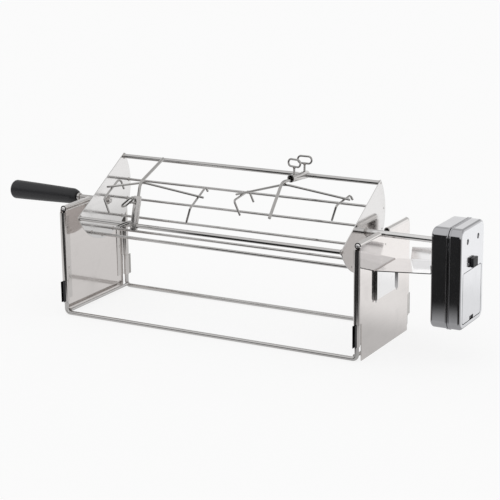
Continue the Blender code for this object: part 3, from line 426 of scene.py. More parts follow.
def cube_bm(*spans):
    """Box between (low, high) limits in mm along x, y and z."""
    bm = bmesh.new()
    bmesh.ops.create_cube(bm, size=1.0)
    size = Matrix.Diagonal([(high - low) * MM for low, high in spans] + [1])
    centre = Matrix.Translation(Vector([(low + high) / 2 for low, high in spans]) * MM)
    bmesh.ops.transform(bm, matrix=centre @ size, verts=bm.verts)
    return bm


def box(name, *spans):
    return from_bm(name, cube_bm(*spans))


def cylinder(radius, start, end, seg):
    """Cutter between two points."""
    start, end = Vector(start), Vector(end)
    line = end - start
    bm = bmesh.new()
    bmesh.ops.create_cone(bm, cap_ends=True, segments=seg, radius1=radius * MM,
                          radius2=radius * MM, depth=line.length * MM)
    turn = Z.rotation_difference(line.normalized()).to_matrix().to_4x4()
    bmesh.ops.transform(bm, matrix=Matrix.Translation((start + end) / 2 * MM) @ turn,
                        verts=bm.verts)
    return from_bm("cutter", bm)


def bridge(bm, first, second):
    """Quads between two rings of vertices."""
    for i in range(len(first)):
        j = (i + 1) % len(first)
        bm.faces.new((first[i], first[j], second[j], second[i]))


def turned(name, profile, start, direction, seg):
    """Solid of revolution: profile [(radius, distance along the axis)] in mm."""
    axis = Vector(direction).normalized()
    side = axis.cross(Z if abs(axis.z) < 0.9 else X).normalized()
    other = axis.cross(side)
    bm = bmesh.new()
    rings = []
    for r, u in profile:
        centre = Vector(start) + axis * u
        if r < 1e-6:
            rings.append([bm.verts.new(centre * MM)])
        else:
            rings.append([bm.verts.new((centre + (side * cos(2 * pi * i / seg)
                                                  + other * sin(2 * pi * i / seg)) * r) * MM)
                          for i in range(seg)])
    pairs = list(zip(rings, rings[1:]))
    if len(rings[0]) > 1 and len(rings[-1]) > 1:
        pairs.append((rings[-1], rings[0]))
    for a, b in pairs:
        if len(a) > 1 and len(b) > 1:
            bridge(bm, a, b)
            continue
        for i in range(seg):
            j = (i + 1) % seg
            bm.faces.new((a[0], b[j], b[i]) if len(a) == 1 else (a[i], a[j], b[0]))
    return from_bm(name, bm)


def tube_profile(outer, inner, u0, u1, chamfer):
    """Tube with chamfered lips, as a closed loop for turned()."""
    c = chamfer
    return [(inner, u0 + c * 0.6), (inner + c * 0.6, u0), (outer - c, u0),
            (outer - c * 0.29, u0 + c * 0.29), (outer, u0 + c), (outer, u1 - c),
            (outer - c * 0.29, u1 - c * 0.29), (outer - c, u1),
            (inner + c * 0.6, u1), (inner, u1 - c * 0.6)]


def bar_profile(r, u0, u1, chamfer):
    """Solid round bar with rounded ends."""
    c = chamfer
    return [(0, u0), (r - c, u0), (r - c * 0.29, u0 + c * 0.29), (r, u0 + c), (r, u1 - c),
            (r - c * 0.29, u1 - c * 0.29), (r - c, u1), (0, u1)]


def fillet(points, radius, seg):
    """Polyline with its corners rounded."""
    points = [Vector(p) for p in points]
    out = [points[0]]
    for before, corner, after in zip(points, points[1:], points[2:]):
        back, ahead = (before - corner).normalized(), (after - corner).normalized()
        half = back.angle(ahead) / 2
        reach = min(radius / (sin(half) / cos(half)),
                    (before - corner).length * 0.49, (after - corner).length * 0.49)
        bend_r = reach * sin(half) / cos(half)
        centre = corner + (back + ahead).normalized() * bend_r / sin(half)
        first, last = corner + back * reach - centre, corner + ahead * reach - centre
        angle = first.angle(last)
        for i in range(seg + 1):
            f = i / seg
            out.append(centre + (first * sin((1 - f) * angle) + last * sin(f * angle)) / sin(angle))
    out.append(points[-1])
    return out


def sweep(name, points, radius, seg, cyclic=False, dome=0.0):
    """Round wire through points (mm); an open wire gets slightly domed cut ends."""
    points = [Vector(p) for p in points]
    count = len(points)
    tangents = []
    for i in range(count):
        if cyclic:
            before, after = points[i - 1], points[(i + 1) % count]
        else:
            before, after = points[max(i - 1, 0)], points[min(i + 1, count - 1)]
        tangents.append((after - before).normalized())
    # carry one side vector along without twist
    sides = [tangents[0].cross(X if abs(tangents[0].x) < 0.9 else Z).normalized()]
    for old, new in zip(tangents, tangents[1:]):
        sides.append((old.rotation_difference(new) @ sides[-1]).normalized())
    if cyclic:                                   # spread the closing twist over the loop
        closing = tangents[-1].rotation_difference(tangents[0])
        last = (closing @ sides[-1]).normalized()
        twist = atan2(last.cross(sides[0]).dot(tangents[0]), last.dot(sides[0]))
        sides = [Matrix.Rotation(twist * i / count, 3, tangents[i]) @ side
                 for i, side in enumerate(sides)]
    bm = bmesh.new()

    def ring(centre, tangent, side, r):
        other = tangent.cross(side)
        return [bm.verts.new((centre + (side * cos(2 * pi * k / seg)
                                        + other * sin(2 * pi * k / seg)) * r) * MM)
                for k in range(seg)]

    rings = [ring(points[i], tangents[i], sides[i], radius) for i in range(count)]
    if not cyclic:
        for end, outward in ((0, -1), (-1, 1)):
            tangent = tangents[end]
            cap = [ring(points[end] + tangent * outward * dome * sin(a), tangent, sides[end],
                        radius - dome * (1 - cos(a))) for a in (pi / 6, pi / 3, pi / 2)]
            # pull the end back by the dome, so the overall length is kept
            for verts in [rings[end]] + cap:
                for v in verts:
                    v.co -= tangent * outward * dome * MM
            rings = cap[::-1] + rings if end == 0 else rings + cap
    for a, b in zip(rings, rings[1:]):
        bridge(bm, a, b)
    if cyclic:
        bridge(bm, rings[-1], rings[0])
    else:
        bm.faces.new(rings[0][::-1])
        bm.faces.new(rings[-1])
    return shade(from_bm(name, bm), 40)


def arc(cx, cy, r, a0, a1, n):
    return [(cx + r * cos(a0 + (a1 - a0) * i / n), cy + r * sin(a0 + (a1 - a0) * i / n))
            for i in range(n + 1)]


def circle(cx, cy, r, n):
    return [(cx + r * cos(2 * pi * i / n), cy + r * sin(2 * pi * i / n)) for i in range(n)]


def round_rect(half_w, z0, z1, r, n=8):
    """Rectangle centred on y = 0 with rounded corners."""
    corners = ((half_w - r, z1 - r, 0), (-half_w + r, z1 - r, pi / 2),
               (-half_w + r, z0 + r, pi), (half_w - r, z0 + r, 1.5 * pi))
    return [p for cy, cz, a in corners for p in arc(cy, cz, r, a, a + pi / 2, n)]


def prism(name, outline, holes, thickness, matrix):
    """Flat outline (mm, local XY) with holes, thickened along local Z from 0."""
    curve = bpy.data.curves.new(name, 'CURVE')
    curve.dimensions = '2D'
    curve.fill_mode = 'BOTH'
    curve.extrude = thickness * MM / 2
    for points in [outline] + holes:
        spline = curve.splines.new('POLY')
        spline.points.add(len(points) - 1)
        for point, (x, y) in zip(spline.points, points):
            point.co = (x * MM, y * MM, 0, 1)
        spline.use_cyclic_u = True
    ob = new_object(name, curve)
    ob.matrix_world = matrix @ Matrix.Translation((0, 0, thickness * MM / 2))
    ob = bake(ob)
    bm = bmesh.new()
    bm.from_mesh(ob.data)
    bmesh.ops.remove_doubles(bm, verts=bm.verts, dist=1e-6)
    bmesh.ops.dissolve_limit(bm, angle_limit=radians(0.5), verts=bm.verts, edges=bm.edges)
    bmesh.ops.recalc_face_normals(bm, faces=bm.faces)
    bm.to_mesh(ob.data)
    bm.free()
    return ob


def cut(ob, *cutters):
    for cutter in cutters:
        boolean = ob.modifiers.new("cut", 'BOOLEAN')
        boolean.operation = 'DIFFERENCE'
        boolean.solver = 'EXACT'
        boolean.object = cutter
        ob = bake(ob)
        bpy.data.objects.remove(cutter, do_unlink=True)
    return ob


def yz_at(x):
    """Local XY on world YZ, thickness along +X."""
    return axes((x, 0, 0), Y, Z, X)


def basket(across, rise):
    """World (y, z) of a point in the basket's tilted section."""
    return (across * cos(CAGE_TILT) - rise * sin(CAGE_TILT),
            AXIS_Z + across * sin(CAGE_TILT) + rise * cos(CAGE_TILT))


def sheet_strip(name, profile, thick, along, span, origin, e_u, e_v, round_ends=True):
    """Sheet whose mid line is profile [(u, v)], swept over a span (start, end) of a direction."""
    mid = [Vector((u, v, 0)) for u, v in profile]
    n = len(mid)

    def square_to(d):
        return Vector((-d.y, d.x, 0))

    left, right = [], []
    for i in range(n):
        normal = square_to((mid[min(i + 1, n - 1)] - mid[max(i - 1, 0)]).normalized())
        mitre = 1.0
        if 0 < i < n - 1:
            d0, d1 = (mid[i] - mid[i - 1]).normalized(), (mid[i + 1] - mid[i]).normalized()
            mitre = 1.0 / max(0.5, sqrt((1 + d0.dot(d1)) / 2))
        left.append(mid[i] + normal * thick / 2 * mitre)
        right.append(mid[i] - normal * thick / 2 * mitre)

    def rounded(tip, before):
        d = (tip - before).normalized()
        return [tip + square_to(d) * thick / 2 * cos(a) + d * thick / 2 * sin(a)
                for a in (pi / 6, pi / 3, pi / 2, 2 * pi / 3, 5 * pi / 6)]

    end = rounded(mid[-1], mid[-2]) if round_ends else []
    start = rounded(mid[0], mid[1]) if round_ends else []
    loop = left + end + right[::-1] + start
    bm = bmesh.new()
    origin, along, e_u, e_v = Vector(origin), Vector(along), Vector(e_u), Vector(e_v)
    inset = 0.15                                 # extra loop near each cut end
    a0, a1 = span
    rings = [[bm.verts.new((origin + along * s + e_u * p.x + e_v * p.y) * MM) for p in loop]
             for s in (a0, a0 + inset, a1 - inset, a1)]
    for a, b in zip(rings, rings[1:]):
        bridge(bm, a, b)
    # caps as quads across the sheet
    k = n + len(end)                             # first vertex of the right side
    for ring in (rings[0], rings[-1]):
        for i in range(n - 1):
            bm.faces.new((ring[i], ring[i + 1], ring[k + n - 2 - i], ring[k + n - 1 - i]))
        if round_ends:
            bm.faces.new(ring[n - 1:k + 1])
            bm.faces.new(ring[k + n - 1:] + [ring[0]])
    return shade(from_bm(name, bm), 30)


def true_flats(ob):
    """Large faces keep their own direction, so only the rounded edges turn the reflection."""
    weighted = ob.modifiers.new("flats", 'WEIGHTED_NORMAL')
    weighted.mode = 'FACE_AREA'
    weighted.weight = 50
    weighted.keep_sharp = True
    return bake(ob)


def place(ob, finish):
    """Move to the frame's origin, finish, and stand for the node named before the dot."""
    ob.data.transform(Matrix.Translation((-ORIGIN_X * MM, 0, 0)))
    if finish.startswith(("sheet", "case")):
        ob = true_flats(ob)
    ob.data.materials.clear()
    ob.data.materials.append(FINISHES[finish])
    node = ob.name.partition(".")[0]
    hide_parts(node)
    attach(ob, BODY[node])
    return ob


def place_turned(name, profile, start, direction, finish, seg, angle=40):
    return place(shade(turned(name, profile, start, direction, seg), angle), finish)


def place_bead(name, centre, radius, direction, stretch):
    """Small weld nugget: a sphere pulled out along one direction."""
    bm = bmesh.new()
    bmesh.ops.create_uvsphere(bm, u_segments=24, v_segments=14, radius=radius * MM)
    turn = Z.rotation_difference(Vector(direction).normalized()).to_matrix().to_4x4()
    bmesh.ops.transform(bm, matrix=Matrix.Translation(Vector(centre) * MM) @ turn
                        @ Matrix.Diagonal((1, 1, stretch, 1)), verts=bm.verts)
    place(shade(from_bm(name, bm), 60), "weld")


# ================================================================== side plates
def plate_panel(node, side):
    slot = SHAFT_R + GAP
    foot = POST_Y - 4.3
    half = [(0, AXIS_Z - slot)] + arc(0, AXIS_Z, slot, -pi / 2, 0, 12)[1:]
    half += [(HEM_GAP - 3.0, HEM_Z - 1.0), (HEM_GAP - 1.0, HEM_Z)]
    half += arc(POST_Y - 2.0, HEM_Z - 2.0, 2.0, pi / 2, 0, 6)
    half += [(POST_Y, POST_BOTTOM), (foot, POST_BOTTOM - 0.1)]
    half += arc(foot - 0.6, 0.6, 0.6, 0, -pi / 2, 4)
    outline = [(-y, z) for y, z in reversed(half)][:-1] + half
    low_x = min(side * PLATE_X, side * (PLATE_X - PLATE_THICK))
    hole = circle(0, AXIS_Z - 13.0, 1.3, 32)
    panel = prism(node + ".panel", outline, [hole], PLATE_THICK, yz_at(low_x))
    place(bevelled(panel, 0.16, 2, 40), "sheet_plate")


def plate_post(node, side, s, tag):
    """Post rolled from the sheet, with its flat tail lying along the panel's inner face."""
    frame_uv = (side * POST_X, s * POST_Y, 0), X * side, Y * s
    flat = PLATE_X - PLATE_THICK - 0.42 - POST_X     # mid line of the tail
    curl = arc(0, 0, ROLL_R, radians(-6), radians(270), 40)
    tail = [(u * flat / 2.8, v) for u, v in arc(0.4, -6.1, 2.4, pi / 2, 0, 8)]
    tail += [(flat, -10.0), (flat, -13.0), (flat, -17.2)]
    curl_end = arc(0, 0, ROLL_R, radians(276), radians(300), 3)
    low_tail = [(flat, v) for v in (-4.6, -8.0, -12.0, -17.2)]
    top_z = 134.0                                # the tail ends here, the curl goes on
    for part, profile, thick, span in (("post", curl + tail, 0.9, (POST_BOTTOM, top_z)),
                                       ("post_top", curl + curl_end, 0.9, (top_z, POST_TOP)),
                                       ("tail", low_tail, 0.8, (20.0, POST_BOTTOM + 0.05))):
        place(sheet_strip(f"{node}.{part}_{tag}", profile, thick, Z, span, *frame_uv),
              "sheet_post")
    spot = [(0, -0.1), (1.9, -0.1), (1.75, 0.10), (1.2, 0.02), (0, -0.05)]
    for z in (62, 118):
        at = (side * (PLATE_X - PLATE_THICK - 0.86), s * (POST_Y - 12.0), z)
        place_turned(f"{node}.spot_{tag}_{z}", spot, at, (-side, 0, 0), "weld", 28, 30)


def plate_hem(node, side, s, tag):
    """Sheet rolled inwards over the top edge; the corner plug is a lighter painted highlight, and a
    near-black ring round it and a near-black disc in the open end at the notch are painted shade.
    """
    x = side * POST_X
    hem_end = POST_Y - 1.6
    roll = arc(0, 0, ROLL_R, radians(-6), radians(302), 44)
    place(sheet_strip(f"{node}.hem_{tag}", roll, 0.95, Y * s, (HEM_GAP, hem_end),
                      (x, 0, HEM_Z), X * side, Z), "sheet_hem")
    rim = [(2.8, -0.3), (4.18, -0.3), (4.18, 0.14), (2.8, 0.14)]
    plug = [(0, -1.2), (3.15, -1.2), (3.0, 0.0), (2.75, 0.45), (2.2, 0.95), (1.3, 1.35), (0, 1.5)]
    dark = [(0, 0.9), (3.18, 0.9), (3.18, 3.0), (0, 3.0)]
    # rim and dark disc are painted shade in the hem's hollows, the plug a painted highlight on the
    # corner dome
    for part, profile, y, finish, seg, angle in (
            ("rim", rim, hem_end, "dark_hole", 48, 40), ("plug", plug, hem_end, "hem_plug", 48, 60),
            ("dark", dark, HEM_GAP, "dark_hole", 40, 40)):
        place_turned(f"{node}.hem_{part}_{tag}", profile, (x, s * y, HEM_Z), (0, s, 0),
                     finish, seg, angle)


for side, side_tag in LEFT_RIGHT.items():
    node = "side_plate_" + side_tag
    plate_panel(node, side)
    for s, tag in FRONT_REAR.items():
        plate_post(node, side, s, tag)
        plate_hem(node, side, s, tag)


# ================================================================== base wires
def base_wire(s, tag):
    """Long wire at the front or rear, turned up into the posts."""
    corners = [(-POST_X, BASE_WIRE_TOP), (-POST_X, BASE_WIRE_R),
               (POST_X, BASE_WIRE_R), (POST_X, BASE_WIRE_TOP)]
    path = fillet([(x, s * POST_Y, z) for x, z in corners], BASE_WIRE_BEND, 16)
    place(sweep(f"base_wire_{tag}.wire", path, BASE_WIRE_R, 36, dome=0.5), "wire_x")


def cross_wire(side, side_tag):
    """Wire between the long wires, with a weld at each end."""
    node = "cross_wire_" + side_tag
    end = POST_Y - BASE_WIRE_R + 0.5
    path = [(side * CROSS_X, y, CROSS_Z) for y in (-end, -30, 30, end)]
    place(sweep(node + ".wire", path, CROSS_WIRE_R, 32, dome=0.3), "wire_y")
    weld = [(0, -0.4), (3.1, -0.4), (2.95, 0.3), (2.55, 1.0), (2.3, 1.7), (2.15, 2.2), (0, 2.2)]
    for s, tag in FRONT_REAR.items():
        at = (side * CROSS_X, s * (POST_Y - BASE_WIRE_R + 0.4), CROSS_Z)
        place_turned(f"{node}.weld_{tag}", weld, at, (0, -s, 0), "weld", 28, 50)


for s, tag in FRONT_REAR.items():
    base_wire(s, tag)
for side, side_tag in LEFT_RIGHT.items():
    cross_wire(side, side_tag)


# ================================================================== corner clips
def corner_clip(node, side, s):
    """Open ring round the base wire, with two leaves that point away from the middle."""
    r = BASE_WIRE_R + GAP + CLIP_THICK / 2
    mouth = pi / 2 - 0.42
    leaf_x = r * cos(mouth)
    frame_uv = (side * POST_X, s * POST_Y, 0), X * side, Y * s
    ring = arc(0, 0, r, mouth - 0.02, -pi - mouth + 0.02, 44)
    place(sheet_strip(node + ".ring", ring, CLIP_THICK, Z, (CLIP_Z0, CLIP_Z1), *frame_uv),
          "sheet_post")
    for q, tag in ((1, "outer"), (-1, "inner")):
        leaf = [(q * (leaf_x + 0.25), 8.6), (q * (leaf_x + 0.02), 7.9), (q * leaf_x, 7.0),
                (q * leaf_x, 5.0), (q * leaf_x, r * sin(mouth) - 0.1)]
        # the front leaves are near black, painted shade; the rear leaves are mid grey, the same steel
        place(sheet_strip(f"{node}.leaf_{tag}", leaf[::q], CLIP_THICK, Z,
                          (CLIP_Z0 + 0.02, CLIP_Z1 - 0.02), *frame_uv),
              "clip" if s < 0 else "clip_inner")


for side, side_tag in LEFT_RIGHT.items():
    for s, tag in FRONT_REAR.items():
        corner_clip(f"corner_clip_{side_tag}_{tag}", side, s)


# ================================================================== motor bracket
def motor_bracket():
    node = "motor_bracket"
    t = BRACKET_THICK
    x0 = PLATE_X + GAP
    c, s = cos(SHELF_TILT), sin(SHELF_TILT)
    shelf = axes((x0, 0, BRACKET_Z1), Vector((c, 0, s)), Y, Vector((-s, 0, c)))

    # leg and shelf are one bent strip
    shelf_end = shelf @ (Vector((SHELF_L - t / 2, 0, -t / 2)) * MM) / MM
    path = fillet([(x0 + t / 2, 0, BRACKET_Z0), (x0 + t / 2, 0, BRACKET_Z1 - t / 2 - 0.1),
                   shelf_end], 1.6, 8)
    place(sheet_strip(node + ".strip", [(p.x, p.z) for p in path], t, Y,
                      (-BRACKET_HALF, BRACKET_HALF), (0, 0, 0), X, Z, round_ends=False),
          "sheet_bracket")

    # upturned flanges at the shelf's rear edge and right end, drawn in the shelf's frame
    lean = radians(25)
    rear = [(BRACKET_HALF - 6.0, -t / 2), (30.04, -t / 2)]
    rear += arc(30.04, 1.0, 1.6, -pi / 2, -lean, 8)[1:]
    rear += [(31.455 + w * sin(lean), 0.254 + w * cos(lean)) for w in (4.0, 9.0, 14.9)]
    ob = sheet_strip(node + ".rear_flange", rear, t - 0.04, X, (20.5, SHELF_L - 0.2),
                     (0, 0, 0), Y, Z)
    ob.data.transform(shelf)
    # the rear flange has a lighter copy of the bracket's steel: painted light
    place(ob, "sheet_flange")
    end = [(SHELF_L - 6.0, -t / 2), (SHELF_L - 2.4, -t / 2)]
    end += arc(SHELF_L - 2.4, -t / 2 + 1.8, 1.8, -pi / 2, 0, 8)[1:] + [(SHELF_L - t / 2, 8.9)]
    ob = sheet_strip(node + ".end_flange", end, t - 0.06, Y,
                     (-BRACKET_HALF + 1.0, BRACKET_HALF - 2.6), (0, 0, 0), X, Z)
    ob.data.transform(shelf)
    place(ob, "sheet_bracket")

    # narrow side flanges along the leg, each with a small tab below
    outline = [(x0 + t / 2, BRACKET_Z0 + 1.0), (x0 + 1.1, BRACKET_Z0 + 0.4),
               (x0 + 1.1, BRACKET_Z0 - 2.2), (x0 + 2.5, BRACKET_Z0 - 2.2),
               (x0 + 2.5, BRACKET_Z0 + 0.4), (x0 + 3.5, BRACKET_Z0 + 1.4),
               (x0 + 3.5, BRACKET_Z1 + 0.1), (x0 + t / 2, BRACKET_Z1 - 0.4)]
    for sign, tag in FRONT_REAR.items():
        y = sign * (BRACKET_HALF - t / 2) + t / 2
        flange = prism(f"{node}.side_flange_{tag}", outline, [], t, axes((0, y, 0), X, Z, -Y))
        place(bevelled(flange, 0.22, 2, 40), "sheet_bracket")

    # spot welds on the leg
    spot = [(0, -0.05), (2.6, -0.05), (2.45, 0.07), (1.6, 0.02), (0, 0.0)]
    for sign, tag in FRONT_REAR.items():
        place_turned(f"{node}.spot_{tag}", spot, (x0 + t, sign * 18.0, 84.0), X,
                     "sheet_bracket", 32, 30)


motor_bracket()

# ================================================================== basket
cage_angles = [-radians(CAGE_WIRE_STEP * i + CAGE_WIRE_START) for i in range(1, 7)]
CAGE_WIRES = [(CAGE_WIRE_RING * cos(a), CAGE_CENTRE + CAGE_WIRE_RING * sin(a))
              for a in cage_angles]


def basket_end(side, side_tag):
    """Disc cut off along a chord, with weld pips outside and a collar on both faces."""
    node = "basket_end_" + side_tag
    rise = CAGE_CHORD - CAGE_CENTRE
    a = atan2(rise, sqrt(CAGE_R ** 2 - rise ** 2))
    outline = [basket(*p) for p in arc(0, CAGE_CENTRE, CAGE_R, a, -pi - a, 128)]
    low_x = CAGE_END_X if side > 0 else -CAGE_END_X - CAGE_END_THICK
    bore = circle(0, AXIS_Z, SHAFT_R - 0.05, 64)
    disc = prism(node + ".disc", outline, [bore], CAGE_END_THICK, yz_at(low_x))
    place(bevelled(disc, 0.2, 3, 40), "sheet_end")

    outer_x = side * (CAGE_END_X + CAGE_END_THICK)
    pips = [(ROD_ACROSS, ROD_RISE, 1.9), (-ROD_ACROSS, ROD_RISE, 1.9)]
    pips += [(*wire, 1.25) for wire in CAGE_WIRES]
    for k, (across, rise, r) in enumerate(pips):
        pip = [(0, -0.1), (r, -0.1), (r * 0.96, 0.06), (r * 0.7, 0.13), (r * 0.42, 0.08), (0, 0.04)]
        place_turned(f"{node}.pip_{k}", pip, (outer_x, *basket(across, rise)), (side, 0, 0),
                     "weld", 28)

    # (height above the shaft's surface, distance from the plate)
    collar = [(-0.3, -0.2), (2.0, -0.2), (1.75, 0.25), (1.1, 0.75), (0.5, 1.3), (0.1, 2.0),
              (-0.3, 2.1)]
    collar = [(SHAFT_R + r, u) for r, u in collar]
    for tag, direction, x in (("out", side, outer_x), ("in", -side, side * CAGE_END_X)):
        place_turned(f"{node}.collar_{tag}", collar, (x, 0, AXIS_Z), (direction, 0, 0),
                     "weld", 56, 50)


def long_wire(node, across, rise, r, seg):
    """Straight bar between the end discs, with a weld at each end."""
    y, z = basket(across, rise)
    end = CAGE_END_X + 0.1
    place_turned(node + ".bar", bar_profile(r, -end, end, 0.1), (0, y, z), X, "wire_x", seg)
    w = r + 1.15
    weld = [(0, -0.1), (w, -0.1), (w - 0.25, 0.3), (r + 0.45, 0.75), (r + 0.12, 1.3),
            (r - 0.2, 1.7), (0, 1.7)]
    for side, tag in LEFT_RIGHT.items():
        place_turned(f"{node}.weld_{tag}", weld, (side * CAGE_END_X, y, z), (-side, 0, 0),
                     "weld", 28, 50)


for side, side_tag in LEFT_RIGHT.items():
    basket_end(side, side_tag)
long_wire("basket_rod_rear", ROD_ACROSS, ROD_RISE, ROD_R, 48)
long_wire("basket_rod_front", -ROD_ACROSS, ROD_RISE, ROD_R, 48)
for i, wire in enumerate(CAGE_WIRES, start=1):
    long_wire(f"basket_wire_{i}", *wire, CAGE_WIRE_R, 36)


# ================================================================== hand grip and spit ends
def handle_rod():
    place_turned("handle_rod.bar", bar_profile(SHAFT_R - 0.2, -278.0, -SHAFT_X0, 0.5),
                 ON_AXIS, X, "rod_grey", 64)
    ferrule = [(3.75, 0.3), (3.95, 0.0), (5.1, 0.0), (5.45, 0.15), (5.6, 0.55), (5.6, 3.3),
               (5.42, 3.85), (5.0, 4.15), (4.2, 4.2), (3.75, 4.1)]
    place_turned("handle_ferrule.ring", ferrule, (GRIP_X0 + GAP, 0, AXIS_Z), X, "rod_grey", 64, 50)


def handle_grip():
    """Long taper with a rounded outer end; distances run from the neck to the left."""
    length = GRIP_X0 - GRIP_X1
    end_round = 5.0

    def taper(f):
        r = GRIP_R1 + (GRIP_R0 + 0.45 - GRIP_R1) * f + 0.16 * sin(pi * f)
        return min(r, GRIP_R1)

    profile = [(0.0, length), (3.0, length), (GRIP_R1 - end_round, length - 0.04)]
    for i in range(1, 13):
        a = pi / 2 * i / 12
        profile.append((GRIP_R1 - end_round + end_round * sin(a),
                        length - end_round + end_round * cos(a)))
    for f in (0.08, 0.16, 0.26, 0.38, 0.5, 0.62, 0.74, 0.84, 0.92, 1.0):
        profile.append((taper(f), (length - end_round) * (1 - f) + 9.0 * f))
    # neck: (offset from GRIP_R0, distance), then the socket round the rod
    neck = [(0.42, 7.6), (0.25, 6.2), (-0.15, 5.0), (-0.9, 3.0), (-1.7, 1.3), (-2.3, 0.35),
            (-3.0, 0.0)]
    profile += [(GRIP_R0 + r, u) for r, u in neck]
    profile += [(5.2, 0.0), (5.0, 0.4), (5.0, 2.5), (0, 2.5)]
    place_turned("handle_grip.body", profile[::-1], (GRIP_X0, 0, AXIS_Z), -X, "grip", 96)

    # moulding seam, a hair proud, along front and rear
    for s, tag in FRONT_REAR.items():
        path = []
        for i in range(25):
            f = i / 24
            u = (length - 6.0) * (1 - f) + 10.0 * f
            r = taper((length - end_round - u) / (length - 14.0))
            path.append((GRIP_X0 - u, s * (r - 0.10), AXIS_Z))
        place(sweep("handle_grip.seam_" + tag, path, 0.16, 10, dome=0.1), "grip")
    gate = [(0, -0.1), (2.2, -0.1), (2.0, 0.0), (1.7, 0.0), (1.5, -0.25), (0, -0.25)]
    place_turned("handle_grip.gate", gate, (GRIP_X1, 0, AXIS_Z), -X, "grip", 40, 30)


def drive_shaft():
    """Round shaft with a square end that enters the motor's socket."""
    profile = [(0, SHAFT_X0), (3.5, SHAFT_X0), (SHAFT_R, 188.8), (SHAFT_R, 288.6),
               (SHAFT_R - 0.35, 289.6), (SHAFT_R - 0.7, 290.2), (0, 290.2)]
    place_turned("drive_shaft.round", profile, ON_AXIS, X, "shaft", 64, 35)
    square = box("drive_shaft.square", (288.0, 308.5), (-SHAFT_SQUARE, SHAFT_SQUARE),
                 (AXIS_Z - SHAFT_SQUARE, AXIS_Z + SHAFT_SQUARE))
    place(bevelled(square, 0.45, 3), "shaft")


handle_rod()
handle_grip()
drive_shaft()


# ================================================================== hold-down forks
def place_thread(name, radius, depth, pitch, length, seg, matrix, finish):
    """Round shank with a helical ridge, its tip at the matrix origin, running along local +Z."""
    bm = bmesh.new()
    steps = int(length / pitch * 8)
    rings = []
    for k in range(steps + 1):
        z = length * k / steps
        fade = max(0.0, min(1.0, z / 1.2, (length - z) / 0.8))
        tip = 0.35 * (1 - z / 0.6) if z < 0.6 else 0
        ring = []
        for i in range(seg):
            ridge = abs((z / pitch - i / seg) % 1.0 - 0.5) * 2
            r = radius - depth * (1 - ridge) * fade - tip
            a = 2 * pi * i / seg
            ring.append(bm.verts.new((r * cos(a) * MM, r * sin(a) * MM, z * MM)))
        rings.append(ring)
    for a, b in zip(rings, rings[1:]):
        bridge(bm, a, b)
    bm.faces.new(rings[0][::-1])
    bm.faces.new(rings[-1])
    ob = from_bm(name, bm)
    ob.data.transform(matrix)
    place(shade(ob, 60), finish)


